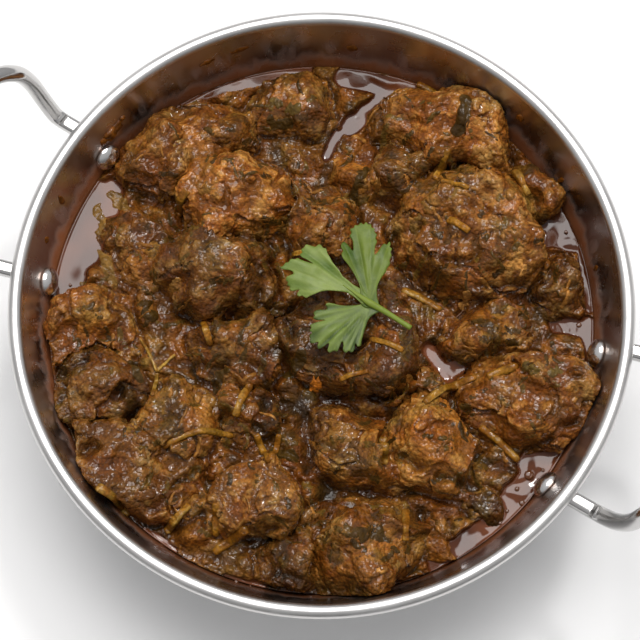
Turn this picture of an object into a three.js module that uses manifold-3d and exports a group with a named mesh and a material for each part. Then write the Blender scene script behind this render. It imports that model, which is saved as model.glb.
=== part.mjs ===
// A karahi: a round steel serving bowl with two riveted wire handles, full of
// mutton pieces in a thick dark herb gravy, with one coriander leaf on top.
// Millimetres, +Z up. The origin is the middle of the flat base, and the two
// handles lie along X. The food is turned against the handles by FOOD_TURN.

import * as THREE from "three";
import { mergeVertices } from "three/addons/utils/BufferGeometryUtils.js";
import Module from "manifold-3d";

const wasm = await Module();
wasm.setup();

// --- driving dimensions ---

const GAP = 0.3; // kept between pieces that touch

const RIM_RADIUS = 100.6; // outside of the rolled rim
const RIM_HEIGHT = 62; // top of the rim
const BEAD_RADIUS = 2.3; // of the rolled rim's section
const SHEET = 1.2; // steel of the bowl
const BASE_RADIUS = 48; // flat spot that the bowl rests on
const ROUND_STEPS = 36;
const WALL_STEPS = 6;
const BEAD_STEPS = 4;

const RIVET_HEIGHT = 42.0; // middle of a rivet on the bowl's inside
const RIVET_SPREAD = THREE.MathUtils.degToRad(15); // each side of a handle's middle
const RIVET_HEAD_RADIUS = 4.9;
const RIVET_HEAD_HEIGHT = 3.2;
const RIVET_SHANK_RADIUS = 2;
const RIVET_TAIL_RADIUS = 3.6;
const RIVET_TAIL_HEIGHT = 1.3;
const RIVET_STEPS = 9;

const WIRE_RADIUS = 2.75;
const WIRE_SIDES = 8;
const WIRE_STEPS = 22;
const TAB_WIDTH = 12; // the flattened foot that is riveted on
const TAB_LENGTH = 15;
const TAB_THICKNESS = 2;
const NECK_WIDTH = 5.2; // the square stretch between the foot and the wire
const NECK_HEIGHT = 4.2;
const NECK_START = new THREE.Vector3(93.6, -25.6, 49.8);
const NECK_END = new THREE.Vector3(107, -27.6, 50.2);
// The wire's route from the neck to the top of the loop, for one half.
const WIRE_ROUTE = [
  new THREE.Vector3(105, -27.3, 50.2),
  new THREE.Vector3(108.5, -28, 51.8),
  new THREE.Vector3(112.2, -29.3, 58.5),
  new THREE.Vector3(115.2, -29.8, 68.5),
  new THREE.Vector3(117.6, -27.8, 78.5),
  new THREE.Vector3(121.6, -22.2, 85),
  new THREE.Vector3(125, -12, 88.2),
];
const LOOP_TOP = new THREE.Vector3(126.3, 0, 89);

const GRAVY_LEVEL = 37;
const FOOD_TURN = THREE.MathUtils.degToRad(22.7);

// The mutton pieces, in the food's own frame. rise is how far the top stands
// above the gravy, and turn is the long side's direction in degrees. A piece
// is dented by the ones before it in the list.
const MEAT = [
  { x: 10, y: -7, length: 46, width: 42, rise: 18.5, turn: 20 },
  { x: 48, y: 28, length: 53, width: 43, rise: 18, turn: -10 },
  { x: -26, y: 41, length: 43, width: 31, rise: 16, turn: -8 },
  { x: 43, y: 67, length: 53, width: 32, rise: 16, turn: -8 },
  { x: -34, y: 15, length: 46, width: 38, rise: 15, turn: -20 },
  { x: -61, y: -53, length: 44, width: 33, rise: 15, turn: -12 },
  { x: 68, y: -29, length: 50, width: 34, rise: 15, turn: -8 },
  { x: 13, y: -76, length: 44, width: 39, rise: 15, turn: 15 },
  { x: 37, y: -42, length: 34, width: 32, rise: 15, turn: -25 },
  { x: -21, y: -61, length: 34, width: 28, rise: 15, turn: 5 },
  { x: -24, y: -8, length: 44, width: 25, rise: 14, turn: 12 },
  { x: -44, y: 61, length: 50, width: 32, rise: 13, turn: 25 },
  { x: 12, y: -45, length: 41, width: 32, rise: 13, turn: -20 },
  { x: -1, y: 32, length: 32, width: 30, rise: 14, turn: 40 },
  { x: 28, y: 53, length: 25, width: 24, rise: 13, turn: 20 },
  { x: -74, y: -25, length: 36, width: 32, rise: 12, turn: -30 },
  { x: 55, y: -5, length: 38, width: 26, rise: 11, turn: 5 },
  { x: 29, y: -24, length: 26, width: 24, rise: 11, turn: -20 },
  { x: -9, y: 74, length: 33, width: 25, rise: 11, turn: 15 },
  { x: -47, y: -33, length: 32, width: 30, rise: 11, turn: 30 },
  { x: -77, y: -4, length: 34, width: 29, rise: 10, turn: 20 },
  { x: -28, y: -31, length: 33, width: 28, rise: 10, turn: -10 },
  { x: 79, y: 12, length: 28, width: 26, rise: 9, turn: -30 },
  { x: 69, y: 42, length: 34, width: 24, rise: 9, turn: 25 },
  { x: -11, y: -81, length: 27, width: 24, rise: 9, turn: 0 },
  { x: -58, y: 25, length: 37, width: 32, rise: 6.5, turn: 20 },
  { x: 37, y: -73, length: 20, width: 19, rise: 5, turn: 0 },
  { x: 47, y: -60, length: 30, width: 18, rise: 4, turn: -10 },
];
const MEAT_SQUARENESS = 2.6; // 2 is an egg, higher is a block with round edges
const MEAT_LUMPS = 0.07; // of the radius
const MEAT_LEAN = 12; // degrees, the most that a piece tips
const MEAT_LEAST_HALF_HEIGHT = 8.5;
const MEAT_MOST_HALF_HEIGHT = 14;

// The leaf, in the food's own frame. Each leaflet fans out from the top of
// the stem, and aim is its direction in degrees.
const LEAF_JOINT = new THREE.Vector3(19.2, -0.8, 57.4);
const LEAF_THICKNESS = 0.8;
const LEAF_CURL = 0.003; // how much a leaflet bows down towards its edges
const LEAFLETS = [
  { aim: 157, length: 34, spread: 19, start: 2 },
  { aim: 96, length: 28, spread: 24, start: 2 },
  { aim: 214, length: 23, spread: 36, start: 2 },
];
const LEAF_LOBES = 3;
const LEAF_NOTCH = 0.3;
const LEAF_STEPS = 21;
const STEM_END = new THREE.Vector3(28.6, -7.4, 54.8);
const STEM_RADIUS = 1;

// --- materials ---

const steel = new THREE.MeshStandardMaterial({ color: 0xc9c9cb, metalness: 1, roughness: 0.18 });
const meatBrown = new THREE.MeshStandardMaterial({ color: 0x7a4a24, roughness: 0.35 });
const gravyBrown = new THREE.MeshStandardMaterial({ color: 0x4a2c16, roughness: 0.15 });
const leafGreen = new THREE.MeshStandardMaterial({ color: 0x7fae58, roughness: 0.5 });

// --- closed meshes and solids ---

// A geometry as a solid: shared corners merged, and no flat triangles.
function toSolid(geometry) {
  const bare = geometry.clone();
  bare.deleteAttribute("normal");
  bare.deleteAttribute("uv");
  const merged = mergeVertices(bare, 1e-4);
  const corners = merged.index.array;
  const kept = [];
  for (let i = 0; i < corners.length; i += 3) {
    const [a, b, c] = [corners[i], corners[i + 1], corners[i + 2]];
    if (a !== b && b !== c && c !== a) kept.push(a, b, c);
  }
  return new wasm.Manifold(
    new wasm.Mesh({
      numProp: 3,
      vertProperties: new Float32Array(merged.attributes.position.array),
      triVerts: new Uint32Array(kept),
    }),
  );
}

// The biggest body of a solid: a cut can leave crumbs beside it.
function largest(solid) {
  const bodies = solid.decompose();
  return bodies.reduce((most, body) => (body.volume() > most.volume() ? body : most));
}

// A solid as a geometry again.
function toGeometry(solid) {
  const mesh = largest(solid).getMesh();
  const geometry = new THREE.BufferGeometry();
  geometry.setAttribute("position", new THREE.BufferAttribute(mesh.vertProperties, 3));
  geometry.setIndex(new THREE.BufferAttribute(mesh.triVerts, 1));
  geometry.computeVertexNormals();
  return geometry;
}

// A profile of [radius, height] points turned round the Z axis.
function turned(profile, steps) {
  const points = profile.map(([radius, height]) => new THREE.Vector2(radius, height));
  return new THREE.LatheGeometry(points, steps).rotateX(Math.PI / 2);
}

function named(name, geometry, material) {
  const mesh = new THREE.Mesh(geometry, material);
  mesh.name = name;
  return mesh;
}

// --- the bowl's wall ---

// The inside of the wall, as radius and height, from the base to the rim.
const wallInside = new THREE.CubicBezierCurve(
  new THREE.Vector2(BASE_RADIUS, SHEET),
  new THREE.Vector2(0.835 * RIM_RADIUS, SHEET),
  new THREE.Vector2(0.895 * RIM_RADIUS, 0.5 * RIM_HEIGHT),
  new THREE.Vector2(RIM_RADIUS - 2 * BEAD_RADIUS, RIM_HEIGHT - BEAD_RADIUS),
);

// The wall's outward direction at a place along it.
function wallNormal(along) {
  const tangent = wallInside.getTangent(along);
  return new THREE.Vector2(tangent.y, -tangent.x);
}

// A point of the wall, moved outward by a distance.
function wallPoint(along, outward) {
  const point = wallInside.getPoint(along).addScaledVector(wallNormal(along), outward);
  return [point.x, point.y];
}

// Where along the wall its inside reaches a height.
function wallPlace(height) {
  let low = 0;
  let high = 1;
  while (high - low > 1e-6) {
    const middle = (low + high) / 2;
    if (wallInside.getPoint(middle).y < height) low = middle;
    else high = middle;
  }
  return low;
}

// The points of the wall from its foot up to a place, moved outward.
function wallRun(end, outward) {
  const points = [];
  for (let i = 0; i <= WALL_STEPS; i += 1) {
    points.push(wallPoint((end * i) / WALL_STEPS, outward));
  }
  return points;
}

// The rolled rim, from under its outside over the top to the inside.
function beadRun() {
  const points = [];
  const start = THREE.MathUtils.degToRad(-80);
  const end = Math.PI;
  for (let i = 0; i <= BEAD_STEPS; i += 1) {
    const angle = start + ((end - start) * i) / BEAD_STEPS;
    points.push([
      RIM_RADIUS - BEAD_RADIUS + BEAD_RADIUS * Math.cos(angle),
      RIM_HEIGHT - BEAD_RADIUS + BEAD_RADIUS * Math.sin(angle),
    ]);
  }
  return points;
}

// What the bowl holds up to a height, kept clear of the wall by a gap. Its
// facets lie along the wall's, in the food's own frame.
function bowlInside(height) {
  const run = wallRun(1, -GAP);
  const kept = run.filter(([, z]) => z < height);
  const [lowRadius, low] = run[kept.length - 1];
  const [highRadius, high] = run[kept.length];
  const radius = lowRadius + ((highRadius - lowRadius) * (height - low)) / (high - low);
  const profile = [[0, SHEET + GAP], ...kept, [radius, height], [0, height]];
  return turned(profile, ROUND_STEPS).rotateZ(-FOOD_TURN);
}

// --- rivets ---

// A rivet's frame: its origin is on the wall's inside, X runs round the bowl,
// Y up the wall and Z outward through it.
function rivetFrame(angle) {
  const place = wallPlace(RIVET_HEIGHT);
  const [radius, height] = wallPoint(place, 0);
  const normal = wallNormal(place);
  const around = new THREE.Vector3(-Math.sin(angle), Math.cos(angle), 0);
  const outward = new THREE.Vector3(Math.cos(angle) * normal.x, Math.sin(angle) * normal.x, normal.y);
  const upward = new THREE.Vector3().crossVectors(outward, around);
  return new THREE.Matrix4()
    .makeBasis(around, upward, outward)
    .setPosition(radius * Math.cos(angle), radius * Math.sin(angle), height);
}

// Domed head inside the bowl, shank, and a flatter head behind the foot.
function rivetGeometry() {
  const headFace = -2 * GAP;
  const tailFace = SHEET + TAB_THICKNESS + 4 * GAP;
  return turned(
    [
      [0, headFace - RIVET_HEAD_HEIGHT],
      [0.55 * RIVET_HEAD_RADIUS, headFace - 0.85 * RIVET_HEAD_HEIGHT],
      [0.9 * RIVET_HEAD_RADIUS, headFace - 0.4 * RIVET_HEAD_HEIGHT],
      [RIVET_HEAD_RADIUS, headFace],
      [RIVET_SHANK_RADIUS, headFace],
      [RIVET_SHANK_RADIUS, tailFace],
      [RIVET_TAIL_RADIUS, tailFace],
      [0.8 * RIVET_TAIL_RADIUS, tailFace + RIVET_TAIL_HEIGHT],
      [0, tailFace + RIVET_TAIL_HEIGHT],
    ],
    RIVET_STEPS,
  );
}

// The clear way that a rivet's shank needs through the bowl and the foot.
function rivetHole(angle) {
  const reach = 6 * SHEET + TAB_THICKNESS;
  const hole = new THREE.CylinderGeometry(
    RIVET_SHANK_RADIUS + GAP,
    RIVET_SHANK_RADIUS + GAP,
    2 * reach,
    RIVET_STEPS,
  );
  return toSolid(hole.rotateX(Math.PI / 2).applyMatrix4(rivetFrame(angle)));
}

const rivetAngles = [-RIVET_SPREAD, RIVET_SPREAD, Math.PI - RIVET_SPREAD, Math.PI + RIVET_SPREAD];

// --- the bowl ---

function dishGeometry() {
  const outsideEnd = wallPlace(RIM_HEIGHT - 1.9 * BEAD_RADIUS);
  const profile = [
    [0, 0],
    ...wallRun(outsideEnd, SHEET),
    ...beadRun(),
    ...wallRun(1, 0).slice(0, -1).reverse(),
    [0, SHEET],
  ];
  let dish = toSolid(turned(profile, ROUND_STEPS));
  for (const angle of rivetAngles) {
    dish = dish.subtract(rivetHole(angle));
  }
  return toGeometry(dish);
}

// --- handles ---

// The foot: a tongue that lies on the outside of the wall, in a rivet's frame.
function tabGeometry(angle) {
  const half = TAB_WIDTH / 2;
  const top = TAB_LENGTH - half;
  const outline = new THREE.Shape();
  outline.moveTo(half, 0);
  outline.lineTo(0.6 * half, top);
  outline.lineTo(-0.6 * half, top);
  outline.lineTo(-half, 0);
  outline.absarc(0, 0, half, Math.PI, 2 * Math.PI, false);
  const tab = new THREE.ExtrudeGeometry(outline, {
    depth: TAB_THICKNESS,
    bevelEnabled: false,
    curveSegments: 5,
  });
  return tab.translate(0, 0, SHEET + 2 * GAP).applyMatrix4(rivetFrame(angle));
}

// The square neck that runs out from the foot under the rim.
function neckGeometry() {
  const run = new THREE.Vector3().subVectors(NECK_END, NECK_START);
  const middle = new THREE.Vector3().addVectors(NECK_START, NECK_END).multiplyScalar(0.5);
  return new THREE.BoxGeometry(run.length(), NECK_WIDTH, NECK_HEIGHT)
    .rotateZ(Math.atan2(run.y, run.x))
    .translate(middle.x, middle.y, middle.z);
}

function mirrored(point) {
  return new THREE.Vector3(point.x, -point.y, point.z);
}

function wireGeometry() {
  const back = WIRE_ROUTE.map(mirrored).reverse();
  const route = new THREE.CatmullRomCurve3([...WIRE_ROUTE, LOOP_TOP, ...back]);
  const section = new THREE.Shape();
  section.absarc(0, 0, WIRE_RADIUS, 0, 2 * Math.PI, false);
  return new THREE.ExtrudeGeometry(section, {
    steps: WIRE_STEPS,
    curveSegments: WIRE_SIDES / 2,
    extrudePath: route,
    bevelEnabled: false,
  });
}

// One handle, on the bowl's +X side.
function handleGeometry() {
  let handle = toSolid(wireGeometry());
  const neck = toSolid(neckGeometry());
  handle = handle.add(neck).add(neck.mirror([0, 1, 0]));
  for (const angle of [-RIVET_SPREAD, RIVET_SPREAD]) {
    handle = handle.add(toSolid(tabGeometry(angle))).subtract(rivetHole(angle));
  }
  return toGeometry(handle);
}

// --- food ---

// One mutton piece as an uneven block with round edges, grown by a margin.
function meatSolid(piece, number, margin) {
  const geometry = new THREE.IcosahedronGeometry(1, 1);
  const halfHeight = THREE.MathUtils.clamp(
    0.42 * piece.width,
    MEAT_LEAST_HALF_HEIGHT,
    MEAT_MOST_HALF_HEIGHT,
  );
  const half = new THREE.Vector3(piece.length / 2, piece.width / 2, halfHeight);
  const corners = geometry.attributes.position;
  const corner = new THREE.Vector3();
  for (let i = 0; i < corners.count; i += 1) {
    corner.fromBufferAttribute(corners, i).normalize();
    const power = MEAT_SQUARENESS;
    const sum = Math.abs(corner.x) ** power + Math.abs(corner.y) ** power + Math.abs(corner.z) ** power;
    const waves =
      Math.sin(4 * corner.x + 2.1 * number) +
      Math.sin(5 * corner.y + 3.7 * number) +
      Math.sin(4 * corner.z + 1.3 * number);
    const reach = sum ** (-1 / power) * (1 + MEAT_LUMPS * waves);
    corner.set(
      corner.x * (reach * half.x + margin),
      corner.y * (reach * half.y + margin),
      corner.z * (reach * half.z + margin),
    );
    corners.setXYZ(i, corner.x, corner.y, corner.z);
  }
  geometry
    .rotateX(THREE.MathUtils.degToRad(MEAT_LEAN * Math.sin(2.3 * number)))
    .rotateY(THREE.MathUtils.degToRad(MEAT_LEAN * Math.sin(4.1 * number)))
    .rotateZ(THREE.MathUtils.degToRad(piece.turn))
    .translate(piece.x, piece.y, GRAVY_LEVEL + piece.rise - halfHeight);
  return toSolid(geometry);
}

// All mutton pieces, each cut back by the wall and by the pieces before it.
function meatSolids() {
  const room = toSolid(bowlInside(RIM_HEIGHT - 2 * BEAD_RADIUS));
  return MEAT.map((piece, number) => {
    let solid = meatSolid(piece, number, 0).intersect(room);
    for (let before = 0; before < number; before += 1) {
      solid = solid.subtract(meatSolid(MEAT[before], before, 2 * GAP));
    }
    return solid;
  });
}

// The gravy fills the bowl to its level, around the pieces.
function gravyGeometry() {
  let gravy = toSolid(bowlInside(GRAVY_LEVEL));
  MEAT.forEach((piece, number) => {
    gravy = gravy.subtract(meatSolid(piece, number, 2 * GAP));
  });
  return toGeometry(gravy);
}

// One fan-shaped leaflet with rounded lobes, its base near the stem's top.
function leafletGeometry(leaflet) {
  const spread = THREE.MathUtils.degToRad(leaflet.spread);
  const outline = new THREE.Shape();
  outline.moveTo(-leaflet.start, 0);
  for (let i = 0; i <= LEAF_STEPS; i += 1) {
    const share = (2 * i) / LEAF_STEPS - 1;
    const lobe = Math.abs(Math.sin((Math.PI / 2) * LEAF_LOBES * (share + 1)));
    const reach = leaflet.length * (1 - 0.3 * share * share) * (1 - LEAF_NOTCH * (1 - lobe));
    outline.lineTo(reach * Math.cos(share * spread), reach * Math.sin(share * spread));
  }
  const geometry = new THREE.ExtrudeGeometry(outline, {
    depth: LEAF_THICKNESS,
    bevelEnabled: false,
  });
  return geometry.rotateZ(THREE.MathUtils.degToRad(leaflet.aim));
}

// The leaf in its own plane, its leaflets bowing down towards their edges.
function leafGeometry() {
  const stemRun = new THREE.LineCurve3(
    new THREE.Vector3(0, 0, LEAF_THICKNESS / 2),
    new THREE.Vector3().subVectors(STEM_END, LEAF_JOINT),
  );
  const section = new THREE.Shape();
  section.absarc(0, 0, STEM_RADIUS, 0, 2 * Math.PI, false);
  const stem = new THREE.ExtrudeGeometry(section, {
    steps: 2,
    curveSegments: 3,
    extrudePath: stemRun,
    bevelEnabled: false,
  });
  let leaf = toSolid(stem);
  for (const leaflet of LEAFLETS) {
    leaf = leaf.add(toSolid(leafletGeometry(leaflet)));
  }
  const geometry = toGeometry(leaf);
  const corners = geometry.attributes.position;
  for (let i = 0; i < corners.count; i += 1) {
    const out = corners.getX(i) ** 2 + corners.getY(i) ** 2;
    corners.setZ(i, corners.getZ(i) - LEAF_CURL * out);
  }
  geometry.computeVertexNormals();
  return geometry;
}

// --- the whole ---

const karahi = new THREE.Group();
karahi.add(named("dish", dishGeometry(), steel));

["handle_right", "handle_left"].forEach((name, side) => {
  const handle = named(name, handleGeometry(), steel);
  handle.rotation.z = side * Math.PI;
  karahi.add(handle);
});

rivetAngles.forEach((angle, number) => {
  const rivet = named(`rivet_${number + 1}`, rivetGeometry(), steel);
  rivet.applyMatrix4(rivetFrame(angle));
  karahi.add(rivet);
});

const food = new THREE.Group();
food.rotation.z = FOOD_TURN;
food.add(named("gravy", gravyGeometry(), gravyBrown));
meatSolids().forEach((solid, number) => {
  const name = `meat_${String(number + 1).padStart(2, "0")}`;
  food.add(named(name, toGeometry(solid), meatBrown));
});
const leaf = named("coriander_leaf", leafGeometry(), leafGreen);
leaf.position.copy(LEAF_JOINT);
food.add(leaf);
karahi.add(food);

export default karahi;
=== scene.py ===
"""The looks of a mutton karahi: a steel bowl with two handles, mutton in a dark herb gravy, and a fresh leaf.

Metres, +Z up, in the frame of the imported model. The food is turned against the handles by FOOD_TURN, and the
camera looks along the food's own +Y, from a little in front of straight above.
"""

import itertools
import math

import bmesh
import bpy
import numpy as np
from mathutils import Matrix, Vector
from mathutils.bvhtree import BVHTree
from mathutils.geometry import delaunay_2d_cdt


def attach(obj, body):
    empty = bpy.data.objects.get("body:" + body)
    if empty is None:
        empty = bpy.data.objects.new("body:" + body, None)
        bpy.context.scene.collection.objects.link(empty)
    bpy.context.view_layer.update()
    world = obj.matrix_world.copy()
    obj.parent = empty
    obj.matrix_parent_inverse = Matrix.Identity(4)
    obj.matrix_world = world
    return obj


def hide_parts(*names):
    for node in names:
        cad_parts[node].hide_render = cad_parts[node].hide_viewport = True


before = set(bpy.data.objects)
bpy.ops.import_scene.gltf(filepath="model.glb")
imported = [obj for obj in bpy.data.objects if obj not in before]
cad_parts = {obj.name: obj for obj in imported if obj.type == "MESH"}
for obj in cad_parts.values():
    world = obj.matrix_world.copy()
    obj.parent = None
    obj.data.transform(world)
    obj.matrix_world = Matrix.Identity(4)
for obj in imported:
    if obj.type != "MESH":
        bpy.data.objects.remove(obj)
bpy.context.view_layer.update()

# --- driving dimensions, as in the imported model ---

GAP = 0.0003
RIM_RADIUS = 0.1006
RIM_HEIGHT = 0.062
BEAD_RADIUS = 0.0023
SHEET = 0.0012
BASE_RADIUS = 0.048

RIVET_HEIGHT = 0.0420
RIVET_SPREAD = math.radians(15)
RIVET_HEAD_RADIUS = 0.0049
RIVET_HEAD_HEIGHT = 0.0032
RIVET_SHANK_RADIUS = 0.002
RIVET_TAIL_RADIUS = 0.0036
RIVET_TAIL_HEIGHT = 0.0013

WIRE_RADIUS = 0.00275
TAB_WIDTH = 0.012
TAB_LENGTH = 0.015
TAB_THICKNESS = 0.002
NECK_WIDTH = 0.0052
NECK_HEIGHT = 0.0042
NECK_START = (0.0936, -0.0256, 0.0498)
WIRE_ROUTE = [
    (0.1052, -0.0273, 0.0502),
    (0.1085, -0.0280, 0.0518),
    (0.1122, -0.0293, 0.0585),
    (0.1152, -0.0298, 0.0685),
    (0.1176, -0.0278, 0.0785),
    (0.1216, -0.0222, 0.0850),
    (0.1250, -0.0120, 0.0882),
]
LOOP_TOP = (0.1263, 0, 0.0890)

GRAVY_LEVEL = 0.037
FOOD_TURN = math.radians(22.7)

# --- the camera, in the food's own frame ---

PHOTO_SIZE = 640
LENS = 105.9
SENSOR = 36.0
CAMERA_PLACE = (-0.00051, -0.1584, 0.6424)
CAMERA_TARGET = (-0.00051, -0.00617, 0.062)

# --- numbers and noise ---


def random_at(cells, seed):
    """One random number in 0..1 for each whole-numbered cell."""
    key = cells[:, 0] * 73856093 ^ cells[:, 1] * 19349663 ^ cells[:, 2] * 83492791 ^ seed * 2654435761
    key = ((key ^ (key >> 13)) * 1274126177) & 0xFFFFFFFF
    return ((key ^ (key >> 16)) & 0xFFFF) / 65535


def noise(points, cell, seed):
    """Smooth value noise in -1..1 at an array of points, one random value per cell corner."""
    grid = points / cell
    base = np.floor(grid).astype(np.int64)
    part = grid - base
    part = part * part * (3 - 2 * part)
    total = np.zeros(len(points))
    for corner in itertools.product((0, 1), repeat=3):
        weight = np.prod(np.where(corner, part, 1 - part), axis=1)
        total += weight * random_at(base + np.array(corner), seed)
    return 2 * total - 1


def pebbles(points, cell, seed):
    """Uneven rounded bumps packed side by side: about 1 on top of a bump, and 0 in the crease between two."""
    grid = points / cell
    base = np.floor(grid).astype(np.int64)
    first = np.full(len(points), 9.0)
    second = first.copy()
    for corner in itertools.product((-1, 0, 1), repeat=3):
        cells = base + np.array(corner)
        middle = cells + np.stack([random_at(cells, seed + k) for k in range(3)], 1)
        apart = ((middle - grid) ** 2).sum(1)
        second = np.minimum(second, np.maximum(first, apart))
        first = np.minimum(first, apart)
    return np.sqrt(np.clip(1.7 * (np.sqrt(second) - np.sqrt(first)), 0, 1))


def fractal(points, cell, seed, octaves=3):
    """Noise with ever finer and weaker copies of itself added."""
    total = sum(noise(points, cell / 2**i, seed + i) / 2**i for i in range(octaves))
    return total / (2 - 2 ** (1 - octaves))


def ridges(points, cell, seed):
    """Noise folded into sharp crests, 1 on a crest and about -1 far from it."""
    return 1 - 3.2 * np.abs(noise(points, cell, seed))


def smoothstep(value, low, high):
    share = np.clip((value - low) / (high - low), 0, 1)
    return share * share * (3 - 2 * share)


def mixed(first, second, share):
    """Colours between first and second, by a share per point."""
    return first + (second - first) * share[:, None]


def linear(red, green, blue):
    """A colour given in the 0..255 of a picture, as the linear values that materials take."""
    share = np.array((red, green, blue)) / 255
    return np.where(share <= 0.04045, share / 12.92, ((share + 0.055) / 1.055) ** 2.4)


def turned(points, angle):
    """Points turned round the Z axis."""
    points = np.asarray(points, float)
    c, s = math.cos(angle), math.sin(angle)
    x, y = points[..., 0] * c - points[..., 1] * s, points[..., 0] * s + points[..., 1] * c
    return np.stack([x, y, points[..., 2]], -1)


def distance_to_line(points, start, end):
    run = end - start
    share = np.clip((points - start) @ run / run.dot(run), 0, 1)
    return np.linalg.norm(points - start - share[:, None] * run, axis=1), share


# --- where a pixel of the photograph lies ---

camera_place = turned(CAMERA_PLACE, FOOD_TURN)
camera_ahead = turned(CAMERA_TARGET, FOOD_TURN) - camera_place
camera_ahead /= np.linalg.norm(camera_ahead)
camera_right = turned((1, 0, 0), FOOD_TURN)
camera_up = np.cross(camera_right, camera_ahead)


def sight(across, down):
    """The direction in which a pixel of the photograph looks."""
    focal = PHOTO_SIZE * LENS / SENSOR
    middle = PHOTO_SIZE / 2
    ray = camera_ahead * focal + camera_right * (across - middle) + camera_up * (middle - down)
    return ray / np.linalg.norm(ray)


def seen_at(across, down, height):
    """The point at a height that a pixel of the photograph shows."""
    ray = sight(across, down)
    return camera_place + ray * (height - camera_place[2]) / ray[2]


# --- meshes ---


def make_mesh(name, corners, faces):
    mesh = bpy.data.meshes.new(name)
    mesh.from_pydata(np.asarray(corners).tolist(), [], faces)
    mesh.validate()
    mesh.shade_smooth()
    return mesh


def corners_of(mesh):
    flat = np.empty(len(mesh.vertices) * 3)
    mesh.vertices.foreach_get("co", flat)
    return flat.reshape(-1, 3)


def normals_of(mesh):
    flat = np.empty(len(mesh.vertices) * 3)
    mesh.vertex_normals.foreach_get("vector", flat)
    return flat.reshape(-1, 3)


def move_corners(mesh, corners):
    mesh.vertices.foreach_set("co", corners.ravel())
    mesh.update()


def paint(mesh, name, values):
    """Stores one value or one colour per corner of the mesh, for its material to read."""
    values = np.asarray(values, np.float32)
    if values.ndim == 1:
        layer = mesh.attributes.new(name, "FLOAT", "POINT")
        layer.data.foreach_set("value", values)
        return
    layer = mesh.attributes.new(name, "FLOAT_COLOR", "POINT")
    solid = np.ones((len(values), 4), np.float32)
    solid[:, :3] = np.clip(values, 0, 1)
    layer.data.foreach_set("color", solid.ravel())


def add_piece(name, mesh, materials, replaced=()):
    """Puts a mesh in the scene as a piece of the object."""
    piece = bpy.data.objects.new(name, mesh)
    bpy.context.scene.collection.objects.link(piece)
    for material in materials:
        mesh.materials.append(material)
    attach(piece, "root")
    if replaced:
        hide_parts(*replaced)
    return piece


def join(parts):
    """One list of corners and faces from several."""
    corners, faces, start = [], [], 0
    for some_corners, some_faces in parts:
        corners.append(some_corners)
        faces += [[index + start for index in face] for face in some_faces]
        start += len(some_corners)
    return np.concatenate(corners), faces


def band_faces(rings, count):
    """Four-cornered faces between rings of so many corners each."""
    pairs = [(step, (step + 1) % count) for step in range(count)]
    starts = range(0, (rings - 1) * count, count)
    return [[row + a, row + b, row + count + b, row + count + a] for row in starts for a, b in pairs]


def tube_faces(rings, count):
    """Faces of a tube of rings that one last corner closes at its start, and another at its end."""
    faces = band_faces(rings, count)
    last = (rings - 1) * count
    for step in range(count):
        after = (step + 1) % count
        faces.append([rings * count, after, step])
        faces.append([rings * count + 1, last + step, last + after])
    return faces


def grid_faces(rows, columns):
    """Four-cornered faces of a grid of corners, and the corners round its border."""
    index = np.arange(rows * columns).reshape(rows, columns)
    quads = np.stack([index[:-1, :-1], index[1:, :-1], index[1:, 1:], index[:-1, 1:]], -1)
    border = [*index[:-1, 0], *index[-1, :-1], *index[:0:-1, -1], *index[0, :0:-1]]
    return quads.reshape(-1, 4).tolist(), border


def skirt_faces(upper, lower):
    """Faces that hang from a closed ring of corners down to another with as many."""
    return [[upper[k], upper[k - 1], lower[k - 1], lower[k]] for k in range(len(upper))]


def revolve(profile, steps):
    """A closed profile of (radius, height) from axis to axis, turned round Z. Its ends are at radius 0."""
    inner = np.array(profile[1:-1])
    angles = np.arange(steps) * 2 * math.pi / steps
    x = inner[:, 0, None] * np.cos(angles)
    y = inner[:, 0, None] * np.sin(angles)
    z = np.repeat(inner[:, 1, None], steps, 1)
    corners = np.stack([x, y, z], -1).reshape(-1, 3)
    corners = np.vstack([corners, [0, 0, profile[0][1]], [0, 0, profile[-1][1]]])
    return corners, tube_faces(len(inner), steps)


def route_frames(points):
    """Side and upward directions along a route that turn with it and don't twist."""
    ahead = np.gradient(points, axis=0)
    ahead /= np.linalg.norm(ahead, axis=1, keepdims=True)
    side = np.cross(ahead[0], (0, 0, 1))
    side /= np.linalg.norm(side) + 1e-12
    sides = []
    for direction in ahead:
        side = side - direction * side.dot(direction)
        side /= np.linalg.norm(side) + 1e-12
        sides.append(side)
    sides = np.array(sides)
    return sides, np.cross(sides, ahead)


def sweep(points, widths, heights, squareness=2.0, sides=12):
    """A closed tube along a route, with a half width, a half height and a squareness per point."""
    points = np.asarray(points, float)
    count = len(points)
    across, upward = route_frames(points)
    angles = np.arange(sides) * 2 * math.pi / sides
    power = 2 / np.broadcast_to(squareness, count)[:, None]
    cos = np.sign(np.cos(angles)) * np.abs(np.cos(angles)) ** power
    sin = np.sign(np.sin(angles)) * np.abs(np.sin(angles)) ** power
    wide = np.broadcast_to(widths, count)[:, None] * cos
    high = np.broadcast_to(heights, count)[:, None] * sin
    rings = points[:, None] + across[:, None] * wide[..., None] + upward[:, None] * high[..., None]
    corners = np.vstack([rings.reshape(-1, 3), points[0], points[-1]])
    faces = [[face[0], *face[:0:-1]] for face in tube_faces(count, sides)]
    return corners, faces


def curve_through(points, steps):
    """A smooth route through points (Catmull-Rom), with so many steps between each two."""
    points = np.asarray(points, float)
    padded = np.vstack([2 * points[0] - points[1], points, 2 * points[-1] - points[-2]])
    route = []
    for i in range(len(points) - 1):
        before, start, end, after = padded[i : i + 4]
        slope = end - before
        bow = 2 * before - 5 * start + 4 * end - after
        twist = 3 * start - before - 3 * end + after
        for share in np.arange(steps) / steps:
            route.append(0.5 * (2 * start + slope * share + bow * share**2 + twist * share**3))
    route.append(points[-1])
    return np.array(route)


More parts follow.
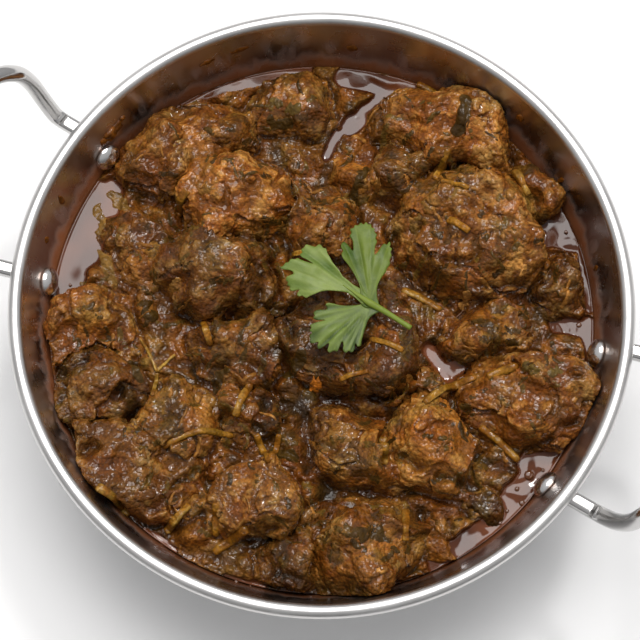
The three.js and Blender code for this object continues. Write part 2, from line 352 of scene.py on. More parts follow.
def remeshed(mesh, voxel, smoothing=0):
    """The mesh made anew from even small faces, and smoothed."""
    shaping = bpy.data.objects.new("shaping", mesh)
    bpy.context.scene.collection.objects.link(shaping)
    remesh = shaping.modifiers.new("remesh", "REMESH")
    remesh.mode = "VOXEL"
    remesh.voxel_size = voxel
    if smoothing:
        smooth = shaping.modifiers.new("smooth", "SMOOTH")
        smooth.factor = 0.5
        smooth.iterations = smoothing
    shown = shaping.evaluated_get(bpy.context.evaluated_depsgraph_get())
    result = bpy.data.meshes.new_from_object(shown)
    bpy.data.objects.remove(shaping)
    return result


# --- material nodes ---

WET_IOR = 1.38  # cooked food
COAT_IOR = 1.39  # the thin sauce and oil on it
OIL_SWELL = 0.0020  # depth of the slow swell in open oil


class Nodes:
    """The node tree of a material, a light or the world, with short ways to add to it."""

    def __init__(self, owner):
        owner.use_nodes = True
        self.owner = owner
        self.tree = owner.node_tree
        shaders = ("BSDF_PRINCIPLED", "EMISSION", "BACKGROUND")
        self.shader = next(node for node in self.tree.nodes if node.type in shaders)
        self.places = self.add("ShaderNodeTexCoord")

    def put(self, value, socket):
        if isinstance(value, bpy.types.NodeSocket):
            self.tree.links.new(value, socket)
        elif np.ndim(value) and len(value) == 3 and socket.type == "RGBA":
            socket.default_value = (*value, 1)
        else:
            socket.default_value = value

    def add(self, kind, inputs=(), **settings):
        """The outputs of a new node, whose inputs are given by their names or numbers."""
        node = self.tree.nodes.new(kind)
        for name, value in settings.items():
            setattr(node, name, value)
        for name, value in dict(inputs).items():
            self.put(value, node.inputs[name])
        return node.outputs

    def set(self, name, value):
        self.put(value, self.shader.inputs[name])

    def noise(self, scale, detail=3.0, stretch=None):
        place = self.places["Object"]
        if stretch:
            place = self.add("ShaderNodeMapping", {"Scale": stretch, "Vector": place})["Vector"]
        return self.add("ShaderNodeTexNoise", {"Scale": scale, "Detail": detail, "Vector": place})["Fac"]

    def granules(self, scale):
        """Rounded grains packed side by side, high in their middles."""
        inputs = {"Scale": scale, "Vector": self.places["Object"]}
        apart = self.add("ShaderNodeTexVoronoi", inputs)["Distance"]
        return self.math("SUBTRACT", 1.0, self.math("MULTIPLY", apart, apart))

    def attribute(self, name, output="Fac"):
        return self.add("ShaderNodeAttribute", attribute_name=name)[output]

    def math(self, operation, first, second=0.0):
        return self.add("ShaderNodeMath", {0: first, 1: second}, operation=operation)[0]

    def range(self, value, low, high, out_low=0.0, out_high=1.0):
        inputs = dict(enumerate((value, low, high, out_low, out_high)))
        return self.add("ShaderNodeMapRange", inputs, interpolation_type="SMOOTHSTEP")[0]

    def mix(self, share, first, second, blend="MIX"):
        outputs = self.add("ShaderNodeMix", {"Factor": share}, data_type="RGBA", blend_type=blend)
        colours = [socket for socket in outputs[0].node.inputs if socket.type == "RGBA"]
        self.put(first, colours[0])
        self.put(second, colours[1])
        return next(socket for socket in outputs if socket.type == "RGBA")

    def shaded(self, colour, shade):
        """A colour times a plain brightness."""
        grey = self.add("ShaderNodeCombineXYZ", {"X": shade, "Y": shade, "Z": shade})[0]
        return self.mix(1.0, colour, grey, "MULTIPLY")

    def along(self, place, direction):
        """How far a place lies in a direction."""
        return self.add("ShaderNodeVectorMath", {0: place, 1: direction}, operation="DOT_PRODUCT")["Value"]

    def bump(self, *layers):
        """Bumps one on the other, each a (height, distance) pair. Where there are several, the coat takes all
        but the last and finest.
        """
        normals = []
        for height, distance in layers:
            below = {"Normal": normals[-1]} if normals else {}
            inputs = {"Distance": distance, "Height": height, **below}
            normals.append(self.add("ShaderNodeBump", inputs)["Normal"])
        self.set("Normal", normals[-1])
        self.set("Coat Normal", normals[max(len(normals) - 2, 0)])


def new_material(name):
    return Nodes(bpy.data.materials.new(name))


def steel_material(name, light, smooth, rough):
    """Stainless steel with fine scratches and fingermarks."""
    nodes = new_material(name)
    smear = nodes.noise(60, 4)
    scratch = nodes.noise(240, 2, (1, 1, 14))
    smeared = linear(light - 12, light - 14, light - 16)
    clean = linear(light, light - 1, light - 2)
    nodes.set("Metallic", 1.0)
    nodes.set("Base Color", nodes.mix(smear, smeared, clean))
    nodes.set("Roughness", nodes.range(smear, 0.35, 0.7, smooth, rough))
    nodes.bump((scratch, 0.00002))
    return nodes


def greased_steel_material():
    """The bowl's inside: steel under a brown film, thickest just above the gravy and gone towards the rim."""
    nodes = steel_material("greased_steel", 205, 0.20, 0.32)
    place = nodes.places["Object"]
    height = nodes.along(place, (0, 0, 1))
    ahead = nodes.along(place, turned((0, 1, 0), FOOD_TURN))
    across = nodes.along(place, turned((1, 0, 0), FOOD_TURN))
    # Painted shade and painted light: the colour is darkened on the wall in front of the food and lightened on
    # the wall to the left.
    front_shade = nodes.range(ahead, -0.095, -0.055, 0.45, 1.1)
    bright = nodes.range(across, -0.095, -0.050, 1.4, 1.0)
    smear = nodes.noise(90, 5)
    run = nodes.noise(170, 3, (1, 1, 0.22))
    wander = nodes.math("MULTIPLY", nodes.math("SUBTRACT", run, 0.5), 0.012)
    level = nodes.math("ADD", height, wander)
    thick = nodes.range(level, GRAVY_LEVEL + 0.002, GRAVY_LEVEL + 0.010, 1.0, 0.0)
    thin = nodes.range(level, GRAVY_LEVEL + 0.006, RIM_HEIGHT - 0.004, 1.0, 0.0)
    drips = nodes.range(run, 0.50, 0.66, 0.0, 0.45)
    drips = nodes.math("MULTIPLY", drips, nodes.range(height, 0.046, 0.056, 1.0, 0.0))
    film = nodes.math("MAXIMUM", thick, drips)
    stained = nodes.mix(thin, linear(184, 180, 178), linear(152, 136, 126))
    brown = nodes.mix(smear, linear(94, 53, 30), linear(146, 90, 56))
    colour = nodes.mix(film, stained, brown)
    nodes.set("Base Color", nodes.shaded(colour, nodes.math("MULTIPLY", front_shade, bright)))
    nodes.set("Metallic", nodes.range(film, 0.0, 1.0, 1.0, 0.10))
    nodes.set("Roughness", nodes.range(smear, 0.3, 0.7, 0.22, 0.36))
    nodes.bump((nodes.noise(500, 4), 0.00005), (film, 0.00012))
    return nodes


def food_material(name, roughness, wetness, grain, grain_depth, tone=0.3, oily=False):
    """Cooked food: colours painted on the mesh, fine grain, and a wet film in patches that glints.

    Where the mesh of an oily food is painted with "oil", it is mirror smooth, with neither grain nor patches.
    """
    nodes = new_material(name)
    colour = nodes.attribute("tint", "Color")
    dry = nodes.attribute("bare")
    fine = nodes.noise(grain, 4)
    coarse = nodes.noise(grain / 2.6, 1)
    grains = nodes.granules(grain * 0.85)
    wet = nodes.noise(grain / 5, 4)
    shade = nodes.range(fine, 0.28, 0.72, 1 - tone, 1 + tone)
    warmth = nodes.mix(nodes.range(coarse, 0.3, 0.7), (0.88, 0.85, 0.80), (1.14, 1.10, 1.04))
    tinted = nodes.shaded(nodes.mix(1.0, colour, warmth, "MULTIPLY"), shade)
    rough = nodes.range(coarse, 0.3, 0.7, roughness * 0.85, roughness * 1.2)
    film = nodes.range(wet, 0.36, 0.50, 0.45 * wetness, wetness)
    film = nodes.math("MULTIPLY", film, nodes.range(dry, 0.3, 1.0, 1.0, 0.85))
    detail = nodes.math("ADD", nodes.math("MULTIPLY", grains, 0.9), fine)
    layers = [(coarse, 1.6 * grain_depth), (grains, 0.7 * grain_depth), (detail, 0.9 * grain_depth)]
    if oily:
        oil = nodes.attribute("oil")
        mash = nodes.math("SUBTRACT", 1.0, oil)
        tinted = nodes.mix(oil, tinted, colour)
        rough = nodes.math("MULTIPLY", mash, rough)
        film = nodes.math("MAXIMUM", film, oil)
        layers = [(nodes.math("MULTIPLY", mash, height), depth) for height, depth in layers]
        layers = [(nodes.noise(45, 2), OIL_SWELL), *layers]
    nodes.set("Base Color", tinted)
    nodes.set("Roughness", rough)
    nodes.set("IOR", WET_IOR)
    nodes.set("Specular IOR Level", 0.1)
    nodes.set("Coat Weight", film)
    nodes.set("Coat Roughness", 0.05)
    nodes.set("Coat IOR", COAT_IOR)
    nodes.bump(*layers)
    return nodes


def set_glow(nodes, radius):
    """Lets light pass a little way into the material, by a distance for red, green and blue."""
    nodes.set("Subsurface Weight", 0.15)
    nodes.set("Subsurface Radius", radius)
    nodes.set("Subsurface Scale", 1.0)


def meat_material():
    nodes = food_material("mutton", 0.6, 1.0, 1000, 0.00030)
    set_glow(nodes, (0.0022, 0.0009, 0.0004))
    return nodes


def leaf_material():
    """A fresh coriander leaf: light passes through it a little."""
    nodes = new_material("coriander_leaf")
    patch = nodes.noise(220, 4)
    cells = nodes.noise(2200, 3)
    mottled = nodes.mix(patch, (0.86, 0.9, 0.84), (1.12, 1.08, 1.1))
    nodes.set("Base Color", nodes.mix(1.0, nodes.attribute("tint", "Color"), mottled, "MULTIPLY"))
    nodes.set("Roughness", nodes.range(patch, 0.3, 0.7, 0.42, 0.56))
    nodes.set("Specular IOR Level", 0.3)
    set_glow(nodes, (0.0008, 0.0012, 0.0004))
    nodes.bump((patch, 0.0002), (cells, 0.00005))
    return nodes


def floor_material():
    nodes = new_material("pale_floor")
    nodes.set("Base Color", nodes.mix(nodes.noise(3, 2), (0.86, 0.86, 0.86), (0.88, 0.88, 0.88)))
    nodes.set("Roughness", 0.7)
    nodes.set("Specular IOR Level", 0.2)
    return nodes


satin_steel = steel_material("satin_steel", 220, 0.32, 0.44).owner
brushed_steel = steel_material("brushed_steel", 234, 0.18, 0.30).owner
polished_steel = steel_material("polished_steel", 202, 0.10, 0.19).owner
greased_steel = greased_steel_material().owner
mutton = meat_material().owner
gravy_look = food_material("gravy", 0.6, 1.0, 1000, 0.00030, oily=True).owner
herb_look = food_material("cooked_herbs", 0.5, 0.7, 1100, 0.00022).owner
stalk_look = food_material("cooked_stalks", 0.45, 0.6, 1100, 0.00014).owner
bit_look = food_material("fat_and_onion", 0.45, 0.6, 1000, 0.00018, 0.25).owner
leaf_look = leaf_material().owner

# --- the bowl ---

ROUND_STEPS = 224
WALL_STEPS = 44
BEAD_STEPS = 18

wall_shares = np.linspace(0, 1, 400)[:, None]
wall_posts = np.array(
    [
        (BASE_RADIUS, SHEET),
        (0.835 * RIM_RADIUS, SHEET),
        (0.895 * RIM_RADIUS, 0.5 * RIM_HEIGHT),
        (RIM_RADIUS - 2 * BEAD_RADIUS, RIM_HEIGHT - BEAD_RADIUS),
    ]
)
wall_line = (
    wall_posts[0] * (1 - wall_shares) ** 3
    + 3 * wall_posts[1] * wall_shares * (1 - wall_shares) ** 2
    + 3 * wall_posts[2] * wall_shares**2 * (1 - wall_shares)
    + wall_posts[3] * wall_shares**3
)
wall_slopes = np.gradient(wall_line, axis=0)
wall_outward = np.stack([wall_slopes[:, 1], -wall_slopes[:, 0]], 1)
wall_outward /= np.linalg.norm(wall_outward, axis=1, keepdims=True)


def wall_radius(height):
    """The radius of the wall's inside at a height."""
    return np.interp(height, wall_line[:, 1], wall_line[:, 0])


def wall_run(end, outward):
    """The wall's points from its foot up to a share of its length, moved outward."""
    places = np.linspace(0, end * (len(wall_line) - 1), WALL_STEPS)
    shifted = wall_line + outward * wall_outward
    index = np.arange(len(wall_line))
    return np.stack([np.interp(places, index, shifted[:, 0]), np.interp(places, index, shifted[:, 1])], 1)


def matrix_of(axes, place):
    """The matrix with these X, Y and Z axes, at a place."""
    matrix = Matrix.Identity(4)
    for column, axis in enumerate(axes):
        for row in range(3):
            matrix[row][column] = axis[row]
    matrix.translation = place
    return matrix


def wall_place(angle, height):
    """A frame on the wall's inside: X runs round the bowl, Y up the wall, Z outward."""
    index = int(np.argmin(np.abs(wall_line[:, 1] - height)))
    radius, level = wall_line[index]
    out_radius, out_height = wall_outward[index]
    outward = Vector((math.cos(angle) * out_radius, math.sin(angle) * out_radius, out_height))
    around = Vector((-math.sin(angle), math.cos(angle), 0))
    axes = (around, outward.cross(around), outward)
    return matrix_of(axes, (radius * math.cos(angle), radius * math.sin(angle), level))


def placed(corners, place):
    """Corners moved by a matrix."""
    matrix = np.array(place)
    return corners @ matrix[:3, :3].T + matrix[:3, 3]


def make_dish():
    angles = np.radians(np.linspace(-80, 180, BEAD_STEPS))
    bead = np.stack([np.cos(angles), np.sin(angles)], 1) * BEAD_RADIUS
    bead += (RIM_RADIUS - BEAD_RADIUS, RIM_HEIGHT - BEAD_RADIUS)
    outside_end = np.interp(RIM_HEIGHT - 1.9 * BEAD_RADIUS, wall_line[:, 1], wall_shares[:, 0])
    outside = wall_run(outside_end, SHEET)
    inside = wall_run(1, 0)[:-1][::-1]
    profile = [(0, 0), *outside, *bead, *inside, (0, SHEET)]
    corners, faces = revolve(profile, ROUND_STEPS)
    mesh = make_mesh("dish", corners, faces)
    inner_start = (len(outside) + len(bead) - 1) * ROUND_STEPS
    for face in mesh.polygons:
        face.material_index = int(min(face.vertices) >= inner_start)
    add_piece("bowl", mesh, [satin_steel, greased_steel], ["dish"])
    return mesh


def make_rivets():
    """Domed heads inside the bowl and flatter ones behind the handle's feet."""
    head = -2 * GAP
    tail = SHEET + TAB_THICKNESS + 4 * GAP
    dome = [
        (RIVET_HEAD_RADIUS * math.sin(a), head - RIVET_HEAD_HEIGHT * math.cos(a))
        for a in np.radians(np.linspace(0, 84, 12))
    ]
    back = [
        (RIVET_TAIL_RADIUS * math.cos(a), tail + RIVET_TAIL_HEIGHT * math.sin(a))
        for a in np.radians(np.linspace(0, 90, 8))
    ]
    edge = [(RIVET_HEAD_RADIUS, head - 0.00005), (RIVET_HEAD_RADIUS * 0.97, head + 0.0003)]
    shank = [(RIVET_SHANK_RADIUS, head + 0.0003), (RIVET_SHANK_RADIUS, tail)]
    angles = [-RIVET_SPREAD, RIVET_SPREAD, math.pi - RIVET_SPREAD, math.pi + RIVET_SPREAD]
    for number, angle in enumerate(angles):
        corners, faces = revolve([*dome, *edge, *shank, *back], 40)
        corners = placed(corners, wall_place(angle, RIVET_HEIGHT))
        name = f"rivet_{number + 1}"
        add_piece(f"{name}_polished", make_mesh(name, corners, faces), [brushed_steel], [name])


# --- handles ---


def tab_part(angle):
    """The foot of a handle: a tongue with rounded edges on the outside of the wall."""
    half = TAB_WIDTH / 2
    top = TAB_LENGTH - half
    bottom = [(half * math.cos(a), half * math.sin(a)) for a in np.radians(np.linspace(180, 360, 20))]
    narrowing = [(0.8 * half, 0.5 * top), (0.6 * half, top)]
    outline = np.array([*bottom, *narrowing, *[(-x, y) for x, y in narrowing[::-1]]])
    middle = outline.mean(0)
    layers = []
    for height, inset in ((0, 0.94), (0.2, 1), (0.8, 1), (1, 0.92)):
        ring = middle + (outline - middle) * inset
        level = np.full(len(ring), SHEET + 2 * GAP + height * TAB_THICKNESS)
        layers.append(np.column_stack([ring, level]))
    count = len(outline)
    faces = band_faces(len(layers), count)
    faces.append(list(range(count))[::-1])
    faces.append([(len(layers) - 1) * count + step for step in range(count)])
    return placed(np.vstack(layers), wall_place(angle, RIVET_HEIGHT)), faces


def make_handle(name, turn):
    """Two feet, two squarish necks that bend up sharply, and a round wire in one loop."""
    route = np.array([*WIRE_ROUTE, LOOP_TOP, *[(x, -y, z) for x, y, z in WIRE_ROUTE[::-1]]])
    loop = curve_through(route, 9)
    mirror = np.array((1, -1, 1))
    neck = np.linspace(NECK_START, WIRE_ROUTE[0], 8)[:-1]
    points = np.vstack([neck, loop, (neck * mirror)[::-1]])
    reach = np.minimum(np.arange(len(points)), np.arange(len(points))[::-1])
    roundness = smoothstep(reach, len(neck) + 1, len(neck) + 9)
    widths = NECK_WIDTH / 2 + (WIRE_RADIUS - NECK_WIDTH / 2) * roundness
    heights = NECK_HEIGHT / 2 + (WIRE_RADIUS - NECK_HEIGHT / 2) * roundness
    wire = sweep(points, widths, heights, 3.4 - 1.4 * roundness, 24)
    corners, faces = join([wire, tab_part(-RIVET_SPREAD), tab_part(RIVET_SPREAD)])
    mesh = make_mesh(name, turned(corners, turn), faces)
    add_piece(f"{name}_wire", mesh, [polished_steel], [name])


dish_mesh = make_dish()
make_rivets()
make_handle("handle_right", 0)
make_handle("handle_left", math.pi)

# --- mutton ---

ROUGH_CUT_HEIGHT = 0.030  # the pieces' undersides, deep in the gravy, are left out of the fine shaping
CUT_HEIGHT = 0.0335
COARSE_VOXEL = 0.0016
FINE_VOXEL = 0.00056

# For each piece: how bare of herbs it is, how light it is, and its grain's direction in degrees.
MEAT_LOOKS = [
    (0.45, 0.52, 20), (0.60, 1.04, -20), (0.85, 1.36, -8), (0.80, 1.32, -8), (0.75, 0.56, -30),
    (0.80, 0.80, -12), (0.80, 0.99, -8), (0.55, 0.76, 15), (0.70, 1.60, -25), (0.70, 1.01, 5),
    (0.55, 0.72, 12), (0.60, 0.84, 25), (0.60, 0.94, -20), (0.50, 0.86, 40), (0.50, 0.54, 20),
    (0.15, 0.54, -30), (0.35, 0.88, 5), (0.45, 0.92, -20), (0.35, 0.86, 15), (0.15, 0.92, 30),
    (0.45, 1.14, 20), (0.15, 0.66, -10), (0.80, 0.44, -30), (0.25, 0.94, 25), (0.30, 0.54, 0),
    (0.35, 0.70, 20), (0.30, 1.40, 0), (0.25, 0.45, -10),
]

DARK_SAUCE = linear(94, 53, 13)
SAUCE = linear(119, 69, 16)
ORANGE_BROWN = linear(139, 93, 28)
TAN = linear(166, 126, 72)
HERB_DARK = linear(54, 40, 12)
HERB_OLIVE = linear(100, 76, 24)

# What the colours are multiplied by in patches, so that some are redder and others more golden.
REDDER = np.array((1.05, 0.95, 0.84))
YELLOWER = np.array((0.95, 1.05, 1.15))

# Deep hollows between the pieces, pressed low and painted dark as shade: both ends and half width, in pixels.
HOLLOWS = [
    ((230, 236), (268, 246), 6), ((264, 279), (274, 271), 5), ((160, 302), (188, 314), 7),
    ((230, 314), (240, 302), 5), ((260, 296), (257, 308), 5), ((268, 313), (298, 305), 6),
    ((290, 330), (292, 340), 6), ((402, 277), (440, 290), 9), ((420, 268), (430, 280), 8),
    ((448, 268), (474, 264), 5), ((478, 292), (525, 284), 6), ((446, 302), (460, 314), 4),
    ((462, 312), (480, 300), 6), ((532, 296), (542, 300), 4), ((568, 288), (576, 286), 5),
    ((387, 203), (393, 206), 5), ((395, 232), (394, 244), 4), ((540, 222), (545, 215), 4),
    ((448, 168), (460, 162), 5), ((512, 156), (518, 148), 5), ((380, 140), (386, 142), 5),
    ((64, 372), (84, 362), 6), ((180, 362), (205, 366), 6), ((216, 368), (240, 362), 9),
    ((240, 362), (262, 374), 6), ((262, 374), (272, 396), 5), ((272, 402), (302, 402), 9),
    ((302, 398), (338, 396), 9), ((338, 400), (356, 408), 4), ((302, 405), (308, 450), 8),
    ((280, 412), (290, 420), 5), ((318, 446), (332, 450), 6), ((308, 450), (306, 470), 6),
    ((326, 482), (330, 492), 9), ((375, 395), (408, 394), 7), ((395, 456), (420, 470), 4),
    ((436, 478), (476, 484), 5), ((482, 456), (500, 466), 7), ((525, 448), (550, 440), 4),
    ((564, 428), (576, 424), 4), ((172, 488), (194, 472), 5), ((112, 514), (150, 524), 8),
    ((150, 512), (172, 500), 7), ((185, 552), (230, 560), 9), ((230, 552), (262, 536), 10),
    ((262, 536), (276, 532), 5), ((274, 574), (300, 582), 8), ((300, 584), (342, 592), 9),
    ((118, 402), (124, 392), 5), ((126, 420), (136, 406), 5), ((88, 454), (96, 450), 6),
    ((220, 418), (226, 414), 4), ((158, 350), (164, 346), 4), ((352, 358), (362, 348), 5),
    ((432, 338), (436, 344), 4), ((424, 504), (424, 515), 4),
]
HOLLOW_HEIGHT = 0.043  # the height at which the pixels of the hollows are taken
HOLLOW_DEPTH = 0.0030  # how far the mutton is pressed in there
SUNK = 0.0008  # how far the fine relief is set back, so that it lies about the shape it is put on

# Spots where the meat shows bare: middle and reach in pixels.
BARE_SPOTS = [
    ((180, 150), 26), ((430, 118), 20), ((230, 205), 22), ((470, 215), 24), ((540, 395), 13),
    ((505, 412), 11), ((415, 435), 15), ((440, 465), 11), ((145, 440), 17), ((245, 492), 18),
    ((268, 508), 12), ((562, 270), 15), ((370, 548), 15), ((520, 265), 11), ((503, 287), 9),
    ((195, 290), 11), ((350, 375), 14), ((268, 92), 12),
]
SPOT_HEIGHT = 0.047  # the food's usual height, at which the pixels of the spots are taken


def near_spots(points, spots):
    """How close each point is to any of the spots: 1 in the middle of one, falling to 0."""
    share = np.zeros(len(points))
    for (across, down), reach in spots:
        middle = seen_at(across, down, SPOT_HEIGHT)
        size = np.linalg.norm(seen_at(across + reach, down, SPOT_HEIGHT) - middle)
        apart = np.linalg.norm(points[:, :2] - middle[:2], axis=1)
        share = np.maximum(share, np.exp(-((apart / size) ** 2)))
    return share


def to_nearest(stretches, points, height):
    """How far each point is from the nearest stretch, in half widths of it. Pixels are taken at a height."""
    nearest = np.full(len(points), 9.0)
    for start, end, half_width in stretches:
        first, last = seen_at(*start, height), seen_at(*end, height)
        reach = np.linalg.norm(seen_at(start[0] + half_width, start[1], height) - first)
        apart, _ = distance_to_line(points[:, :2], first[:2], last[:2])
        nearest = np.minimum(nearest, apart / reach)
    return nearest


def in_hollows(points):
    """How deep in one of the hollows each point lies: 1 on its middle line, falling to 0."""
    bent = warped(points, 0.004, 0.0010, 40)
    return np.exp(-(to_nearest(HOLLOWS, bent, HOLLOW_HEIGHT) ** 2))


def cut_off(source, mesh, height, seam=None):
    """Stores the source in the mesh, cut off below a height and closed there, its seams joined if asked."""
    shape = bmesh.new()
    shape.from_mesh(source)
    if seam:
        bmesh.ops.remove_doubles(shape, verts=shape.verts, dist=seam)
    everything = shape.verts[:] + shape.edges[:] + shape.faces[:]
    plane = {"plane_co": (0, 0, height), "plane_no": (0, 0, -1)}
    bmesh.ops.bisect_plane(shape, geom=everything, clear_outer=True, **plane)
    bmesh.ops.holes_fill(shape, edges=[edge for edge in shape.edges if edge.is_boundary])
    shape.to_mesh(mesh)
    shape.free()


def rough_copy(node):
    """The node's mesh with its corners joined, without its deep underside."""
    mesh = bpy.data.meshes.new(node)
    cut_off(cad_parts[node].data, mesh, ROUGH_CUT_HEIGHT, 1e-6)
    return mesh


def along_grain(points, direction):
    """Points squeezed along the grain, so that noise on them runs in fibres."""
    fibre = np.array((math.cos(direction), math.sin(direction), 0))
    along = points @ fibre
    return points - fibre * (along * 0.88)[:, None]


def warped(points, cell, reach, seed):
    """Points pushed about by noise, so that what is made from them loses its regular look."""
    return points + reach * np.stack([noise(points, cell, seed + k) for k in range(3)], 1)


def food_relief(points, seed, bare, grain):
    """Fine relief in metres: granules and folded herbs, more here and less there, and fibres on bare meat."""
    bent = warped(points, 0.005, 0.0018, seed)
    clods = pebbles(bent, 0.0052, seed + 10)
    granules = pebbles(warped(points, 0.0020, 0.0007, seed + 4), 0.0019, seed + 13)
    folds = noise(bent, 0.0032, seed + 16)
    grit = noise(points, 0.0013, seed + 17)
    fibres = noise(along_grain(bent, grain), 0.0016, seed + 18)
    torn = smoothstep(ridges(along_grain(bent, grain), 0.0050, seed + 24), 0.75, 1.0)
    herby = 0.0008 * clods + 0.00045 * granules + 0.00040 * folds + 0.00022 * grit
    meaty = 0.0005 * clods + 0.00026 * granules + 0.00036 * fibres - 0.0006 * torn + 0.00024 * grit
    lumpy = 0.45 + 0.75 * smoothstep(fractal(points, 0.008, seed + 19), -0.35, 0.45)
    return (herby + (meaty - herby) * bare) * lumpy


def food_colour(points, relief, bare, light, hollow, seed):
    """Colours by what a spot is: herbs in patches, dark sauce in the low places of the relief and browns on
    what stands out. The dark in the low places is partly sauce and partly painted shade; low down near the
    gravy and in the hollows between the pieces the colour is darkened further, as painted shade.
    """
    high = smoothstep(relief, -0.0001, 0.0013)
    patches = smoothstep(fractal(points, 0.006, seed + 20), 0.05, 0.30)
    flecks = noise(points, 0.0016, seed + 21)
    warm = smoothstep(fractal(points, 0.0060, seed + 22), -0.3, 0.4)
    colour = mixed(DARK_SAUCE, SAUCE, smoothstep(high, 0.0, 0.45))
    colour = mixed(colour, ORANGE_BROWN, smoothstep(high, 0.1, 0.9) * (0.30 + 0.65 * warm))
    colour = mixed(colour, TAN, (0.3 + 0.7 * bare) * smoothstep(high, 0.1, 0.8) * (0.30 + 0.55 * warm))
    herb = mixed(HERB_DARK, HERB_OLIVE, smoothstep(high, 0.2, 0.9))
    colour = mixed(colour, herb, (1 - bare) * patches * 0.75)
    colour = mixed(colour, HERB_DARK, smoothstep(flecks, 0.5, 0.8) * (1 - 0.6 * bare) * 0.6)
    shade = 0.84 + 0.34 * smoothstep(fractal(points, 0.011, seed + 23), -0.45, 0.45)
    # Painted shade: darker low down near the gravy's level, and darker still in the hollows between the
    # pieces.
    shade *= 0.84 + 0.24 * smoothstep(points[:, 2] - GRAVY_LEVEL, 0.0005, 0.0085)
    shade *= (1 - 0.55 * hollow) * (1 + 0.10 * near_spots(points, BARE_SPOTS))
    hue = mixed(REDDER, YELLOWER, smoothstep(fractal(points, 0.008, seed + 25), -0.35, 0.35))
    return colour * hue * light**0.8 * shade[:, None]


def kept_in_bowl(points):
    """Points that would reach into the wall are drawn in to its inside."""
    limit = wall_radius(points[:, 2]) - 1.5 * GAP
    share = np.minimum(1, limit / np.hypot(points[:, 0], points[:, 1]))
    return points * np.column_stack([share, share, np.ones(len(points))])


def make_meat(number, bare_level, light, grain):
    node = f"meat_{number + 1:02d}"
    seed = 1000 + 50 * number
    rough = remeshed(rough_copy(node), COARSE_VOXEL, 7)
    move_corners(rough, warped(warped(corners_of(rough), 0.012, 0.0032, seed), 0.0065, 0.0018, seed + 30))
    mesh = remeshed(rough, FINE_VOXEL, 1)
    points = corners_of(mesh)
    lumps = 0.0016 * noise(points, 0.009, seed + 5) + 0.0009 * noise(points, 0.005, seed + 6)
    clefts = -0.0016 * smoothstep(ridges(warped(points, 0.006, 0.004, seed + 7), 0.012, seed + 2), 0.74, 1.0)
    move_corners(mesh, points + normals_of(mesh) * (lumps + clefts)[:, None])
    points = corners_of(mesh)
    bare = bare_level - 0.15 + 0.9 * fractal(points, 0.012, seed + 3) + 0.6 * near_spots(points, BARE_SPOTS)
    bare = np.clip(bare, 0, 1)
    relief = food_relief(points, seed, bare, math.radians(grain) + FOOD_TURN)
    points = points + normals_of(mesh) * (relief - SUNK)[:, None]
    hollow = in_hollows(points)
    points[:, 2] -= HOLLOW_DEPTH * hollow * smoothstep(points[:, 2] - GRAVY_LEVEL, 0.0, HOLLOW_DEPTH)
    points = kept_in_bowl(points)
    move_corners(mesh, points)
    # Painted shade: the clefts are passed in as deeper relief, so the colour is darker along them.
    paint(mesh, "tint", food_colour(points, relief + 0.5 * clefts, bare, light, hollow, seed))
    paint(mesh, "bare", bare)
    cut_off(mesh, mesh, CUT_HEIGHT)
    mesh.shade_smooth()
    add_piece(f"{node}_braised", mesh, [mutton], [node])
    return mesh


meat_meshes = [make_meat(number, *looks) for number, looks in enumerate(MEAT_LOOKS)]

# --- gravy ---

GRAVY_GRID = 284
DROP_HEIGHT = 0.09  # above everything, where rays start down onto the food
OIL_DARK = linear(70, 34, 14)
OIL_PALE = linear(112, 62, 34)
# Soft lumps of mash with no firm piece in them: middle in the food's frame, reach, and height over the gravy.
MASH_LUMPS = [
    ((0.010, 0.047), 0.0095, 0.011),
    ((-0.042, -0.069), 0.0105, 0.009),
    ((-0.010, -0.038), 0.0110, 0.008),
    ((-0.001, 0.061), 0.0080, 0.006),
]
# Where the oil lies open: the two ends of each stretch and its half width, in pixels of the photograph.
POOLS = [
    ((104, 198), (78, 256), 22), ((76, 258), (54, 325), 20), ((150, 126), (200, 94), 7),
    ((200, 94), (305, 69), 8), ((345, 78), (408, 90), 12), ((392, 95), (350, 128), 11),
    ((338, 135), (326, 158), 6), ((520, 135), (552, 182), 7), ((552, 182), (570, 222), 12),
    ((536, 232), (578, 240), 15), ((585, 245), (590, 305), 9), ((556, 325), (592, 330), 10),
    ((588, 326), (594, 365), 10), ((582, 448), (530, 465), 14), ((545, 470), (508, 514), 19),
    ((508, 514), (440, 564), 14), ((430, 352), (447, 376), 8), ((424, 374), (458, 368), 8),
    ((145, 535), (172, 552), 7), ((225, 580), (262, 590), 6),
]


def tree_of(meshes):
    """A tree for casting rays on several meshes."""
    corners, faces = join([(corners_of(mesh), [face.vertices for face in mesh.polygons]) for mesh in meshes])
    return BVHTree.FromPolygons(corners.tolist(), faces)


def blurred(field, reach):
    """A square field smoothed by a bell curve whose width is given in grid steps."""
    taps = np.arange(-3 * reach, 3 * reach + 1)
    bell = np.exp(-0.5 * (taps / reach) ** 2)
    bell /= bell.sum()
    wide = np.pad(field, 3 * reach, mode="edge")
    wide = np.apply_along_axis(np.convolve, 0, wide, bell, "valid")
    return np.apply_along_axis(np.convolve, 1, wide, bell, "valid")


def openness(points):
    """How much of a spot is open oil: 1 in the pools, 0 between them, with wandering edges."""
    wander = 0.24 * fractal(points, 0.010, 90) + 0.12 * noise(points, 0.0028, 93)
    return 1 - smoothstep(to_nearest(POOLS, points, GRAVY_LEVEL) + wander, 0.88, 1.06)


def height_under(tree, x, y):
    """The height at which something falling at a spot would land: the gravy's level where nothing is met."""
    hit = tree.ray_cast(Vector((x, y, DROP_HEIGHT)), Vector((0, 0, -1)))
    return hit[0].z if hit[0] else GRAVY_LEVEL


def oil_waves(level, across):
    """How far the open oil rises and falls: a slow swell, and froth on the pools to the right."""
    froth = smoothstep(fractal(level, 0.012, 96), -0.45, 0.1) * smoothstep(across, -0.03, 0.03)
    ripples = noise(warped(level, 0.004, 0.0015, 97), 0.0042, 98)
    return 0.00018 * noise(level, 0.007, 95) + 0.0005 * froth * ripples


